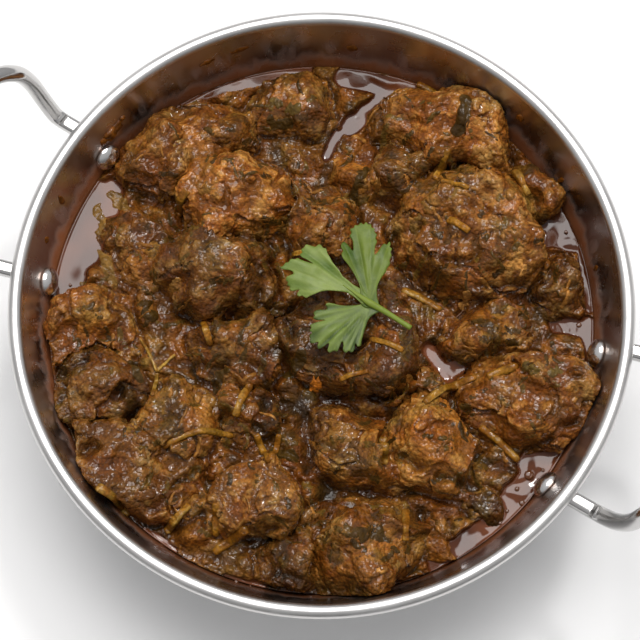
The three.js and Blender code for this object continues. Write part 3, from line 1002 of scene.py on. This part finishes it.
def gravy_top(meat_tree, x, y):
    """The height, mash share and colours of the gravy's top over a grid."""
    top = np.array([[height_under(meat_tree, *spot) for spot in row] for row in np.dstack([x, y])])
    top = np.maximum(top, GRAVY_LEVEL)
    met = (top > GRAVY_LEVEL + 0.0004).astype(float)
    own = turned(np.stack([x, y, np.zeros_like(x)], -1), -FOOD_TURN)
    for (middle_x, middle_y), reach, rise in MASH_LUMPS:
        apart = np.hypot(own[..., 0] - middle_x, own[..., 1] - middle_y) / reach
        top = np.maximum(top, GRAVY_LEVEL + rise * np.clip(1 - apart**2, 0, 1) ** 0.6)
    crowd = (blurred(top, 6) - GRAVY_LEVEL).ravel()
    points = np.stack([x, y, top], -1).reshape(-1, 3)
    level = np.column_stack([points[:, :2], np.zeros(len(points))])
    bare = np.full(len(points), 0.15)
    relief = food_relief(points, 60, bare, 0.0)
    moat = (smoothstep(blurred(met, 3), 0.08, 0.5) * (1 - met)).ravel()
    hollow = in_hollows(level)
    clumps = 0.0030 * pebbles(warped(level, 0.009, 0.003, 82), 0.0105, 83)
    climb = 0.50 + 0.66 * smoothstep(fractal(level, 0.013, 84), -0.4, 0.4)
    rise = np.maximum(0.0012 + clumps, climb * crowd - 0.0012) * (1 - 0.75 * hollow)
    lumps = 0.0013 * noise(points, 0.009, 80) + 0.0009 * noise(points, 0.005, 81)
    rise += lumps + relief - SUNK - 0.0018 * moat
    mash = np.maximum(1 - openness(level), smoothstep(crowd, 0.0045, 0.0080))
    height = GRAVY_LEVEL + mash * np.maximum(rise, -0.0006)
    solid = np.maximum(met.ravel(), mash).reshape(x.shape)
    cling = 0.0005 * smoothstep(blurred(solid, 2), 0.2, 0.8).ravel() * (1 - mash)
    points[:, 2] = height
    oil = mixed(OIL_DARK, OIL_PALE, smoothstep(fractal(level, 0.02, 65), -0.4, 0.5))
    # Painted shade: the mash is coloured darker in the moat round the pieces, as if its relief were lower
    # there.
    colour = mixed(oil, food_colour(points, relief - 0.0009 * moat, bare, 1.02, hollow, 64), mash)
    height += (1 - mash) * oil_waves(level, own[..., 0].ravel()) + cling
    return height.reshape(x.shape), mash, colour


def make_gravy(meat_tree):
    """One closed body: a fine top with pools of oil and mash between the pieces, and a plain underside."""
    count = GRAVY_GRID
    radius = wall_radius(GRAVY_LEVEL) - GAP
    line = np.linspace(-1, 1, count)
    u, v = np.meshgrid(line, line, indexing="ij")
    x = radius * u * np.sqrt(1 - v * v / 2)
    y = radius * v * np.sqrt(1 - u * u / 2)
    height, mash, top_colour = gravy_top(meat_tree, x, y)
    edge = 1 - np.maximum(np.abs(u), np.abs(v))
    height = GRAVY_LEVEL + (height - GRAVY_LEVEL) * smoothstep(edge, 0.0, 0.035)
    height += 0.0007 * np.exp(-edge / 0.008)
    corners = np.stack([x, y, height], -1).reshape(-1, 3)
    faces, rim = grid_faces(count, count)
    angles = np.arctan2(corners[rim, 1], corners[rim, 0])
    outward = np.column_stack([np.cos(angles), np.sin(angles), np.zeros(len(rim))])
    upper = rim
    for level in np.linspace(GRAVY_LEVEL - 0.002, SHEET + GAP, 7):
        lower = range(len(corners), len(corners) + len(rim))
        corners = np.vstack([corners, outward * (wall_radius(level) - 1.5 * GAP) + (0, 0, level)])
        faces += skirt_faces(upper, lower)
        upper = lower
    faces += [[upper[step], upper[step - 1], len(corners)] for step in range(len(upper))]
    corners = np.vstack([corners, [0, 0, SHEET + GAP]])
    mesh = make_mesh("gravy", corners, faces)
    colour = np.tile(linear(60, 26, 8), (len(corners), 1))
    colour[: count * count] = top_colour
    paint(mesh, "tint", colour)
    oil = np.zeros(len(corners))
    oil[: count * count] = 1 - mash
    paint(mesh, "oil", oil)
    add_piece("gravy_and_oil", mesh, [gravy_look], ["gravy"])
    return mesh


gravy_mesh = make_gravy(tree_of(meat_meshes))
food_tree = tree_of([*meat_meshes, gravy_mesh])

# --- small things on the food ---


def on_food(across, down):
    """The point of the food that a pixel of the photograph shows."""
    hit = food_tree.ray_cast(Vector(camera_place), Vector(sight(across, down)))
    return np.array(hit[0]) if hit[0] else seen_at(across, down, GRAVY_LEVEL)


def food_height(x, y):
    return height_under(food_tree, x, y)


def resting(points, lift, ease):
    """A route laid on the food: it follows the food's height, eased so that it bridges hollows."""
    heights = np.array([food_height(x, y) for x, y, _ in points])
    level = heights.copy()
    for _ in range(ease):
        padded = np.pad(level, 1, mode="edge")
        level = 0.25 * padded[:-2] + 0.5 * padded[1:-1] + 0.25 * padded[2:]
        level = np.maximum(level, heights - lift)
    routed = np.array(points)
    routed[:, 2] = level + lift
    return routed


# Cut stalks: first and last pixel, bend in millimetres to the left of their run, width, and how green.
STALKS = [
    ((236, 417), (250, 384), 0.5, 0.0031, 0.1),
    ((402, 290), (441, 310), 0.3, 0.0026, 0.2),
    ((448, 220), (469, 232), 0.0, 0.0029, 0.2),
    ((487, 377), (518, 366), 0.4, 0.0028, 0.3),
    ((424, 403), (476, 377), 1.5, 0.0026, 0.35),
    ((449, 149), (435, 180), 0.2, 0.0026, 0.25),
    ((441, 181), (469, 188), 0.0, 0.0016, 0.1),
    ((417, 84), (444, 90), 0.4, 0.0023, 0.1),
    ((514, 172), (528, 196), 0.0, 0.0024, 0.3),
    ((102, 494), (130, 515), 0.5, 0.0026, 0.6),
    ((189, 505), (165, 532), 0.4, 0.0027, 0.3),
    ((164, 448), (233, 436), 2.5, 0.0024, 0.5),
    ((216, 503), (216, 536), 0.0, 0.0026, 0.3),
    ((214, 553), (248, 529), 0.6, 0.0036, 0.3),
    ((256, 434), (270, 462), 0.0, 0.0023, 0.2),
    ((279, 434), (270, 462), 0.0, 0.0022, 0.2),
    ((383, 437), (383, 465), 0.0, 0.0026, 0.1),
    ((405, 510), (405, 541), 0.0, 0.0026, 0.15),
    ((480, 427), (517, 462), 0.5, 0.0027, 0.3),
    ((370, 340), (403, 351), 0.3, 0.0020, 0.2),
    ((340, 380), (368, 371), 0.4, 0.0020, 0.1),
    ((203, 322), (211, 346), 0.0, 0.0019, 0.2),
    ((178, 215), (188, 190), 0.3, 0.0024, 0.3),
    ((290, 262), (310, 252), 0.0, 0.0019, 0.2),
    ((140, 338), (157, 372), 0.4, 0.0014, 0.5),
    ((157, 372), (152, 396), 0.2, 0.0013, 0.5),
    ((157, 372), (175, 355), 0.2, 0.0012, 0.5),
]
STALK_SIDES = 16
# The first colour is a painted highlight along a stalk's top, and the third a painted shade on its sides.
STALK_PAINTED_HIGHLIGHT = linear(196, 158, 78)
STALK_GOLD = linear(152, 106, 28)
STALK_PAINTED_SHADE = linear(92, 60, 16)
STALK_OLIVE = linear(84, 72, 24)


def add_painted(name, parts, tints, look, replaced=()):
    """A piece made of several parts, each with its own colours."""
    corners, faces = join(parts)
    mesh = make_mesh(name, corners, faces)
    paint(mesh, "tint", np.concatenate(tints))
    add_piece(name, mesh, [look], replaced)
    return mesh


def stalk_part(start, end, bend, width, number):
    """A cut stalk that rests on the food, grooved along its length, and the route of its middle."""
    shares = np.linspace(0, 1, 17)[:, None]
    first, last = on_food(*start), on_food(*end)
    run = last - first
    aside = np.array((-run[1], run[0], 0)) / (np.linalg.norm(run[:2]) + 1e-9)
    points = first + run * shares + aside * bend * 0.001 * np.sin(math.pi * shares)
    points = resting(points, 0.05 * width, 5)
    swell = 1 + 0.22 * noise(points, 0.0035, 300 + number)
    ends = 1 - 0.25 * np.exp(-np.minimum(shares, 1 - shares)[:, 0] / 0.02)
    corners, faces = sweep(points, width / 2 * swell * ends, width / 2 * 0.8 * swell * ends, 2.6, STALK_SIDES)
    side = np.arange(len(corners)) % STALK_SIDES
    streak = noise(np.column_stack([side * 1.0, np.zeros((len(corners), 2))]), 1.7, number)
    middles = np.repeat(points, STALK_SIDES, axis=0)
    ringed = len(middles)
    corners[:ringed] += (corners[:ringed] - middles) * 0.20 * streak[:ringed, None]
    upward = np.zeros(len(corners))
    upward[:ringed] = (corners[:ringed] - middles)[:, 2] / (0.4 * width)
    return corners, faces, points, streak, upward


def make_stalks():
    parts, tints = [], []
    for number, (start, end, bend, width, green) in enumerate(STALKS):
        corners, faces, points, streak, upward = stalk_part(start, end, bend, width, number)
        mottled = fractal(corners, 0.006, 310 + number)
        share = np.clip(green + 0.5 * streak + 0.35 * mottled, 0, 1)
        # Painted light: the top of each stalk is gold with a painted highlight along it, and its sides and
        # underside are painted darker as shade.
        colour = mixed(STALK_PAINTED_SHADE, STALK_GOLD, smoothstep(upward, -0.1, 0.7))
        colour = mixed(colour, STALK_OLIVE, share * 0.8)
        colour = mixed(colour, STALK_PAINTED_HIGHLIGHT, 0.55 * smoothstep(upward + 0.5 * streak + 0.4 * mottled, 0.8, 1.3))
        to_ends = [np.linalg.norm(corners - points[end], axis=1) for end in (0, -1)]
        buried = np.exp(-np.minimum(*to_ends) / (0.7 * width))
        covered = 0.75 * smoothstep(fractal(corners, 0.004, 330 + number), -0.1, 0.35)
        colour = mixed(colour, SAUCE, np.maximum(covered, 0.8 * buried))
        parts.append((corners, faces))
        tints.append(colour * (0.90 + 0.25 * noise(corners, 0.003, 320 + number))[:, None])
    add_painted("stalks", parts, tints, stalk_look)


def laid_part(start, end, width, lift, bend, seed, rows=11, columns=5):
    """A flat bit with a wandering outline, laid on the food from start to end, its edges sunk into it."""
    along = np.linspace(-1, 1, rows)[:, None]
    across = np.linspace(-1, 1, columns)[None, :]
    middle, half = (start + end) / 2, (end - start) / 2
    aside = np.array((-half[1], half[0])) / (np.hypot(*half) + 1e-9)
    path = np.stack([along[:, 0] * 2.8, np.full(rows, 0.5), np.full(rows, 0.5)], 1)
    swell, drift = (noise(path, 1.0, seed + k)[:, None] for k in (0, 5000))
    half_width = width / 2 * np.sqrt(np.clip(1.02 - along**4, 0, 1)) * (1 + 0.7 * swell)
    offset = across * half_width + bend * (1 - along**2) + 0.4 * width * drift
    flat = middle + along[..., None] * half + offset[..., None] * aside
    heights = np.array([[food_height(x, y) for x, y in row] for row in flat])
    inner = (1 - across**4) * (1 - along**8)
    crumple = noise(np.dstack([flat, heights]).reshape(-1, 3), 0.0014, seed + 1).reshape(heights.shape)
    top = heights + (lift + 0.00045 * crumple) * inner - 0.0002 * (1 - inner)
    bottom = heights - 0.0007
    corners = np.concatenate([np.dstack([flat, level]).reshape(-1, 3) for level in (top, bottom)])
    quads, edge = grid_faces(rows, columns)
    under = rows * columns
    faces = quads + [[corner + under for corner in quad[::-1]] for quad in quads]
    faces += skirt_faces(edge, [corner + under for corner in edge])
    return corners, faces, np.tile(inner.ravel(), 2)


FLAKE_MARGIN = 0.008  # kept free along the wall
FLAKE_CLEARANCE = 0.0022  # the food's least height over the gravy's level under a flake


def scattered_flakes(name, count, seed, lengths, widths, lift, colours, look):
    """Flat bits strewn over the food outside the open oil."""
    random = np.random.default_rng(seed)
    limit = wall_radius(GRAVY_LEVEL) - FLAKE_MARGIN
    first, second = colours
    parts, tints = [], []
    while len(parts) < count:
        spot = random.uniform(-1, 1, 2) * limit
        heading = random.uniform(0, 2 * math.pi)
        length = random.uniform(*lengths)
        width = random.uniform(*widths)
        draw = random.uniform(0, 1, 3)
        if np.hypot(*spot) > limit or food_height(*spot) < GRAVY_LEVEL + FLAKE_CLEARANCE:
            continue
        reach = length / 2 * np.array((math.cos(heading), math.sin(heading)))
        bend = 0.3 * length * (draw[0] - 0.5)
        corners, faces, inner = laid_part(spot - reach, spot + reach, width, lift, bend, seed + len(parts))
        parts.append((corners, faces))
        shade = mixed(first, second, np.full(len(corners), draw[1] ** 1.5))
        shade *= (0.9 + 0.5 * noise(corners, 0.002, seed + 2))[:, None]
        patchy = 0.9 * smoothstep(inner + 0.5 * noise(corners, 0.0016, seed + 3), 0.0, 0.8)
        tints.append(mixed(SAUCE, shade, patchy))
    add_painted(name, parts, tints, look)


ONION = linear(118, 90, 44)
FAT = linear(176, 126, 64)
ORANGE_FAT = linear(196, 116, 36)
DARK_LEAF = linear(54, 42, 14)
GREY_LEAF = linear(84, 70, 32)
# Single bits that stand out: first and last pixel, width, height over the food, bend, and colour.
BITS = [
    ((98, 246), (116, 291), 0.0040, 0.0003, 0.0008, ONION),
    ((99, 202), (104, 236), 0.0042, 0.0003, -0.0006, ONION),
    ((108, 191), (127, 211), 0.0046, 0.0005, 0.0005, ONION),
    ((464, 93), (455, 138), 0.0050, 0.0006, 0.0012, DARK_LEAF),
    ((351, 205), (369, 166), 0.0038, 0.0004, 0.0010, DARK_LEAF),
    ((264, 108), (284, 104), 0.0036, 0.0003, 0.0008, GREY_LEAF),
    ((284, 108), (302, 108), 0.0034, 0.0003, -0.0004, GREY_LEAF),
    ((266, 118), (294, 127), 0.0040, 0.0004, 0.0, DARK_LEAF),
    ((514, 258), (524, 277), 0.0040, 0.0006, 0.0008, FAT),
    ((518, 207), (526, 217), 0.0026, 0.0007, 0.0, FAT),
    ((459, 308), (470, 291), 0.0028, 0.0008, 0.0, FAT),
    ((472, 152), (488, 148), 0.0032, 0.0006, 0.0, FAT),
    ((376, 570), (386, 572), 0.0020, 0.0006, 0.0, FAT),
    ((309, 388), (322, 386), 0.0030, 0.0008, 0.0, ORANGE_FAT),
    ((128, 360), (143, 384), 0.0034, 0.0004, 0.0006, DARK_LEAF),
    ((140, 300), (156, 322), 0.0050, 0.0004, 0.0, DARK_LEAF),
    ((302, 345), (287, 380), 0.0044, 0.0004, 0.0008, DARK_LEAF),
    ((520, 366), (540, 372), 0.0034, 0.0003, -0.0006, GREY_LEAF),
    ((546, 373), (564, 371), 0.0034, 0.0003, 0.0004, GREY_LEAF),
    ((350, 530), (392, 542), 0.0048, 0.0004, 0.0010, DARK_LEAF),
    ((215, 396), (228, 366), 0.0040, 0.0004, 0.0008, DARK_LEAF),
    ((268, 448), (300, 462), 0.0044, 0.0004, 0.0006, DARK_LEAF),
]


def make_bits():
    parts, tints = [], []
    for number, (start, end, width, lift, bend, colour) in enumerate(BITS):
        first, last = on_food(*start)[:2], on_food(*end)[:2]
        corners, faces, inner = laid_part(first, last, width, lift, bend, 700 + number, 25, 9)
        parts.append((corners, faces))
        mottled = 0.95 + 0.5 * noise(corners, 0.0025, 730 + number)
        patchy = 0.9 * smoothstep(inner + 0.4 * noise(corners, 0.002, 760 + number), 0.0, 0.6)
        tints.append(mixed(SAUCE, colour * mottled[:, None], patchy))
    add_painted("onion_fat_and_leaf_bits", parts, tints, bit_look)


make_stalks()
make_bits()
scattered_flakes(
    "herb_flakes", 300, 11, (0.003, 0.009), (0.0012, 0.0034), 0.00018,
    (linear(50, 38, 12), linear(96, 74, 28)), herb_look,
)
scattered_flakes(
    "meat_shreds", 80, 12, (0.003, 0.008), (0.0008, 0.0018), 0.00045,
    (linear(108, 70, 24), linear(156, 108, 50)), bit_look,
)

# --- bubbles in the oil, and sauce on the wall ---

BUBBLE_FLATNESS = 0.34
BUBBLE_BROWN = linear(84, 46, 20)
# Middle in pixels and radius in metres.
BUBBLES = [
    ((453, 347), 0.0011), ((423, 375), 0.0013), ((529, 475), 0.0016), ((517, 489), 0.0008),
    ((522, 503), 0.0010), ((456, 515), 0.0010), ((507, 511), 0.0007), ((543, 470), 0.0006),
    ((500, 523), 0.0006), ((489, 520), 0.0005), ((150, 540), 0.0009), ((160, 547), 0.0012),
    ((170, 553), 0.0007), ((236, 582), 0.0008), ((250, 587), 0.0006), ((579, 325), 0.0009),
    ((566, 232), 0.0006), ((108, 232), 0.0011), ((104, 239), 0.0006), ((70, 285), 0.0005),
]
# Dabs of sauce on the wall: middle in pixels, and their size round the bowl, up the wall and off the wall.
DABS = [
    ((110, 134), 0.0030, 0.0024, 0.0016),
    ((117, 127), 0.0024, 0.0022, 0.0013),
    ((104, 141), 0.0018, 0.0020, 0.0010),
    ((122, 118), 0.0014, 0.0012, 0.0007),
    ((62, 200), 0.0012, 0.0034, 0.0004),
    ((207, 62), 0.0030, 0.0012, 0.0005),
    ((240, 50), 0.0040, 0.0010, 0.0004),
    ((352, 48), 0.0016, 0.0020, 0.0005),
    ((520, 118), 0.0012, 0.0018, 0.0005),
    ((561, 180), 0.0010, 0.0022, 0.0004),
    ((596, 268), 0.0010, 0.0026, 0.0004),
    ((47, 240), 0.0012, 0.0018, 0.0004),
]


def ball_part(radii, seed, roughness):
    """A closed ball with three radii, roughened."""
    corners, faces = revolve([(math.sin(a), math.cos(a)) for a in np.linspace(0.0, math.pi, 11)], 18)
    corners *= (1 + roughness * noise(corners, 0.7, seed))[:, None]
    return corners * radii, faces


def make_bubbles():
    parts, tints = [], []
    for number, (spot, radius) in enumerate(BUBBLES):
        ball, faces = ball_part((radius, radius, BUBBLE_FLATNESS * radius), 800 + number, 0.0)
        parts.append((ball + seen_at(*spot, GRAVY_LEVEL + GAP), faces))
        tints.append(np.tile(BUBBLE_BROWN, (len(ball), 1)))
    mesh = add_painted("oil_bubbles", parts, tints, gravy_look)
    paint(mesh, "oil", np.ones(len(mesh.vertices)))


def make_dabs():
    """Dabs of sauce, each flat against the wall's inside."""
    bowl_tree = tree_of([dish_mesh])
    parts, tints = [], []
    for number, (spot, round_size, up_size, off_size) in enumerate(DABS):
        hit = bowl_tree.ray_cast(Vector(camera_place), Vector(sight(*spot)))[0]
        dab, faces = ball_part((round_size, up_size, off_size), 850 + number, 0.5)
        dab[:, 2] = np.minimum(dab[:, 2], SHEET / 3)
        dab = placed(dab, wall_place(math.atan2(hit.y, hit.x), hit.z))
        parts.append((dab, faces))
        tints.append(mixed(DARK_SAUCE, SAUCE, smoothstep(noise(dab, 0.002, 870), -0.5, 0.5)))
    add_painted("sauce_dabs", parts, tints, bit_look)


make_bubbles()
make_dabs()

# --- the coriander leaf ---

LEAF_HEIGHT = 0.0578
LEAF_THICKNESS = 0.00035
LEAF_SPACING = 0.00045
VEIN_WIDTH = 0.00055  # where the leaf's veins meet
VEIN_TAPER = 0.0003  # how much thinner they are at their tips
# Each leaflet's outline in pixels of the photograph, round from the stem, and the ends of its veins.
LEAFLETS = {
    "left": [
        (368, 303), (368, 297), (360, 289), (353, 285), (348, 281), (343, 277), (339, 271), (335, 266),
        (332, 262), (330, 258), (327.5, 254), (326, 249), (323, 248), (321, 245), (318.5, 244),
        (316, 246.5), (313, 246), (310, 245), (306, 244), (304, 247), (301, 249), (302.5, 252), (300, 254),
        (301.5, 257), (306, 259.5), (313.5, 264.5), (307, 262.5), (301.5, 260.5), (297.5, 258.5),
        (295, 260), (291, 259.5), (288.5, 262.5), (285.5, 263), (283, 266), (280, 267.5), (284, 269.5),
        (288.5, 270), (292.5, 271.5), (293.5, 274), (290, 275.5), (286.5, 277), (286, 280), (288, 282),
        (287, 284.5), (290, 286), (289.5, 289), (293, 290.5), (299.5, 289.5), (297, 293.5), (298.5, 296),
        (302.5, 295.5), (306, 298), (309, 296.5), (314, 295), (320, 292.5), (328, 291), (338, 291.5),
        (346, 292.5), (352.5, 296), (357.5, 300), (362, 304),
    ],
    "top": [
        (379, 304), (370, 308), (361, 304), (360, 288), (357, 280), (352, 271), (347.5, 265), (343, 260),
        (341.5, 255.5), (343, 252), (341, 247.5), (342, 243), (344.5, 242), (347, 244), (349.5, 247),
        (353, 251), (353, 243), (352, 239), (349.5, 235.5), (351.5, 232.5), (350, 228.5), (353.5, 227.5),
        (355, 224.5), (358, 225), (361, 222), (363.5, 224), (366, 221.5), (368.5, 224), (371, 224),
        (371.5, 227.5), (374.5, 228.5), (374.5, 232), (377, 235), (375.5, 238.5), (377, 242), (375, 247.5),
        (374.5, 255.5), (377.5, 252.5), (381, 247), (384.5, 244), (386.5, 245.5), (389.5, 242),
        (390.5, 245.5), (389.5, 247.5), (392, 249.5), (390.5, 253), (391.5, 257), (389.5, 260),
        (390, 264.5), (387, 268.5), (386, 272), (383, 275.5), (379, 282), (377, 288), (377, 297),
    ],
    "bottom": [
        (381, 311.5), (378, 304), (366, 301), (361, 304), (355, 305), (347, 305.5), (338, 305), (332, 304),
        (327.5, 303.5), (325.5, 306), (327.5, 308), (325, 310.5), (320, 310), (315, 311.5), (313.5, 314),
        (315, 316.5), (313, 318.5), (317, 320.5), (326, 320.5), (319, 322.5), (313.5, 324), (310, 326),
        (311.5, 328.5), (309.5, 331), (312.5, 333), (309.5, 336), (310.5, 339), (310, 342.5),
        (313.5, 343.5), (318.5, 342.5), (317.5, 346), (318.5, 349), (322.5, 347.5), (328.5, 343.5),
        (328.5, 347.5), (327.5, 351), (330, 353), (333.5, 351), (337, 352), (339, 348.5), (342, 342),
        (343.5, 346), (343, 351), (346, 353.5), (348.5, 351.5), (351.5, 353), (354, 350.5), (355.5, 343.5),
        (357.5, 347), (361, 345.5), (361.5, 341), (363.5, 334), (366, 326), (368, 320), (372, 315.5),
        (377, 312.5),
    ],
}
LEAF_VEINS = {
    "left": [(303, 250), (284, 266), (288, 288), (320, 249), (300, 295)],
    "top": [(344, 246), (356, 228), (370, 227), (388, 246)],
    "bottom": [(318, 313), (311, 328), (320, 345), (334, 350), (348, 349), (359, 345)],
}
LEAF_COLOURS = {
    "left": (linear(72, 96, 24), linear(121, 136, 66)),
    "top": (linear(42, 70, 5), linear(98, 114, 36)),
    "bottom": (linear(28, 52, 6), linear(104, 121, 52)),
}
LEAF_LAYERS = {"left": 0.0002, "top": 0.0, "bottom": -0.0002}
LEAF_JOINT = (370, 303)
STEM_ROUTE = [(343, 285), (352, 291), (361, 297), (370, 303), (379, 308), (389, 314), (400, 321), (411, 328)]
STEM_WIDTHS = [0.0004, 0.0009, 0.0016, 0.0024, 0.0021, 0.0018, 0.0017, 0.0017]


def along_outline(outline, spacing):
    """Points at an even spacing round a closed outline."""
    closed = np.vstack([outline, outline[:1]])
    lengths = np.r_[0, np.cumsum(np.linalg.norm(np.diff(closed, axis=0), axis=1))]
    places = np.arange(0, lengths[-1], spacing)
    return np.stack([np.interp(places, lengths, closed[:, k]) for k in range(2)], 1)


def inside_outline(points, outline):
    """Which points lie inside a closed outline."""
    inside = np.zeros(len(points), bool)
    for (x1, y1), (x2, y2) in zip(outline, np.roll(outline, -1, axis=0)):
        crosses = (y1 > points[:, 1]) != (y2 > points[:, 1])
        reach = x1 + (points[:, 1] - y1) * (x2 - x1) / (y2 - y1 + 1e-15)
        inside ^= crosses & (points[:, 0] < reach)
    return inside


def leaflet_net(name):
    """A leaflet's flat corners, even along its border and in its middle, and the triangles between them."""
    outline = np.array([seen_at(*pixel, LEAF_HEIGHT)[:2] for pixel in LEAFLETS[name]])
    smooth = curve_through(np.column_stack([outline, np.zeros(len(outline))]), 4)[:, :2]
    border = along_outline(smooth, LEAF_SPACING)
    low, high = border.min(0), border.max(0)
    across, up = (np.arange(low[k], high[k], LEAF_SPACING) for k in range(2))
    grid = np.stack(np.meshgrid(across, up), -1).reshape(-1, 2)
    apart = np.sqrt(((grid[:, None] - border[None]) ** 2).sum(-1)).min(1)
    kept = grid[inside_outline(grid, border) & (apart > 0.6 * LEAF_SPACING)]
    flat = np.vstack([border, kept])
    count = len(border)
    edges = [(i, (i + 1) % count) for i in range(count)]
    flat_points, _, triangles, *_ = delaunay_2d_cdt([Vector(p) for p in flat], edges, [], 1, 1e-7)
    return np.array([tuple(p) for p in flat_points]), triangles


def leaflet_part(name, number):
    """One leaflet as a thin closed blade that bows and ripples, with its colours."""
    flat_points, triangles = leaflet_net(name)
    joint = seen_at(*LEAF_JOINT, LEAF_HEIGHT)[:2]
    vein = np.ones(len(flat_points))
    for tip in LEAF_VEINS[name]:
        apart, share = distance_to_line(flat_points, joint, seen_at(*tip, LEAF_HEIGHT)[:2])
        vein = np.minimum(vein, apart / (VEIN_WIDTH - VEIN_TAPER * share))
    groove = np.exp(-vein**2)
    away = np.linalg.norm(flat_points - joint, axis=1)
    heading = np.arctan2(*(flat_points - joint).T)
    fan = noise(np.column_stack([heading * 14, away * 60, np.zeros(len(away))]), 1.0, 420 + number)
    fan *= smoothstep(away, 0.002, 0.007)
    spread = np.column_stack([flat_points, np.zeros(len(flat_points))])
    ripple = 0.0009 * noise(spread, 0.008, 400 + number) + 0.0004 * noise(spread, 0.0035, 405 + number)
    rise = 0.0010 * np.sin(np.clip(away / 0.02, 0, 1) * math.pi / 2) - 4.0 * np.clip(away - 0.012, 0, 1) ** 2
    height = LEAF_HEIGHT + LEAF_LAYERS[name] + rise + ripple * smoothstep(away, 0.001, 0.012)
    height += 0.00032 * fan - 0.00022 * groove
    upper = np.column_stack([flat_points, height])
    lower = upper - (0, 0, LEAF_THICKNESS)
    total = len(upper)
    faces = [list(face) for face in triangles]
    faces += [[index + total for index in face[::-1]] for face in triangles]
    edges = [(i, j) for face in triangles for i, j in zip(face, face[1:] + face[:1])]
    shared = set(edges)
    faces += [[j, i, i + total, j + total] for i, j in edges if (j, i) not in shared]
    dark, pale = LEAF_COLOURS[name]
    tone = smoothstep(fractal(spread, 0.006, 410 + number), -0.5, 0.5)
    colour = mixed(dark, pale, np.clip(0.2 + 0.4 * tone + 0.5 * groove + 0.55 * fan, 0, 1))
    return (np.vstack([upper, lower]), faces), np.vstack([colour, mixed(colour, pale, np.full(total, 0.4))])


def make_leaf():
    parts, colours = [], []
    for number, name in enumerate(LEAFLETS):
        part, colour = leaflet_part(name, number)
        parts.append(part)
        colours.append(colour)
    lifts = [0.0006 - 0.0004 * max(step - 3, 0) for step in range(len(STEM_ROUTE))]
    posts = [seen_at(*pixel, LEAF_HEIGHT + lift) for pixel, lift in zip(STEM_ROUTE, lifts)]
    route = curve_through(posts, 5)
    thick = np.interp(np.linspace(0, 1, len(route)), np.linspace(0, 1, len(posts)), STEM_WIDTHS) / 2
    stem = sweep(route, thick, thick * 0.7, 2.0, 12)
    parts.append(stem)
    colours.append(np.tile(linear(110, 126, 42), (len(stem[0]), 1)))
    add_painted("coriander_sprig", parts, colours, leaf_look, ["coriander_leaf"])


make_leaf()

# --- floor, light and camera ---

FLOOR_REACH = 3.0


def make_floor():
    low, high = -FLOOR_REACH, FLOOR_REACH
    corners = [(low, low, 0), (high, low, 0), (high, high, 0), (low, high, 0)]
    mesh = make_mesh("floor", corners, [[0, 1, 2, 3]])
    mesh.materials.append(floor_material().owner)
    floor = bpy.data.objects.new("floor", mesh)
    bpy.context.scene.collection.objects.link(floor)


SOFTBOX_SIZE = (1.2, 1.06)
SOFTBOX_PLACE = (0.0, 0.47, 1.5)  # in the food's frame: above, and behind the food
SOFTBOX_RADIANCE = 6.6
SOFT_EDGE = 0.30  # share of the softbox over which it fades from its middle to its edge
KEY_SIZE = 0.24
KEY_PLACE = (0.34, 0.94, 1.5)
KEY_RADIANCE = 50
# The room's brightness from its dark side, in front of the food, to its bright side, above and behind it.
ROOM_SIDE = (0.0, 0.6, 0.8)
ROOM = [(0.18, 0.05), (0.34, 0.16), (0.5, 0.39), (0.8, 0.49), (1.0, 0.54)]


def fading_towards_edges(nodes):
    """1 in the middle of an area light, falling to 0 at its edges."""
    spot = nodes.add("ShaderNodeNewGeometry")["Parametric"]
    fades = []
    for axis in ((1, 0, 0), (0, 1, 0)):
        to_edge = nodes.math("PINGPONG", nodes.along(spot, axis), 0.5)
        fades.append(nodes.range(to_edge, 0.0, SOFT_EDGE / 2))
    return nodes.math("MULTIPLY", *fades)


def add_light(name, data, radiance, area, place):
    """Puts an area light in its place, aimed at the food."""
    data.energy = radiance * math.pi * area
    data.color = (1.0, 0.985, 0.975)
    light = bpy.data.objects.new(name, data)
    light.location = turned(place, FOOD_TURN)
    aim = Vector((0, 0, 0.04)) - light.location
    light.rotation_euler = aim.to_track_quat("-Z", "Y").to_euler()
    bpy.context.scene.collection.objects.link(light)


def make_softbox():
    data = bpy.data.lights.new("softbox", "AREA")
    data.shape = "RECTANGLE"
    data.size, data.size_y = SOFTBOX_SIZE
    nodes = Nodes(data)
    nodes.set("Strength", fading_towards_edges(nodes))
    add_light("softbox", data, SOFTBOX_RADIANCE, SOFTBOX_SIZE[0] * SOFTBOX_SIZE[1], SOFTBOX_PLACE)


def make_key_light():
    """A small bright lamp that glints in the wet sauce."""
    data = bpy.data.lights.new("key", "AREA")
    data.shape = "DISK"
    data.size = KEY_SIZE
    add_light("key", data, KEY_RADIANCE, math.pi * KEY_SIZE**2 / 4, KEY_PLACE)


def make_world():
    """A pale room, dark only on the side in front of the food."""
    world = bpy.data.worlds.new("room")
    nodes = Nodes(world)
    facing = nodes.along(nodes.places["Generated"], turned(ROOM_SIDE, FOOD_TURN))
    share = nodes.math("MULTIPLY", nodes.math("ADD", facing, 1.0), 0.5)
    shown = nodes.add("ShaderNodeValToRGB", {"Fac": share})["Color"]
    elements = shown.node.color_ramp.elements
    while len(elements) < len(ROOM):
        elements.new(0.5)
    for element, (position, brightness) in zip(elements, ROOM):
        element.position = position
        element.color = (brightness, brightness, 1.01 * brightness, 1)
    nodes.set("Color", shown)
    bpy.context.scene.world = world


def make_camera():
    data = bpy.data.cameras.new("camera")
    data.lens = LENS
    data.sensor_width = SENSOR
    data.sensor_height = SENSOR
    data.clip_start = 0.01
    camera = bpy.data.objects.new("camera", data)
    camera.matrix_world = matrix_of((camera_right, camera_up, -camera_ahead), camera_place)
    bpy.context.scene.collection.objects.link(camera)
    bpy.context.scene.camera = camera


make_floor()
make_softbox()
make_key_light()
make_world()
make_camera()
bpy.context.scene.view_settings.view_transform = "Standard"
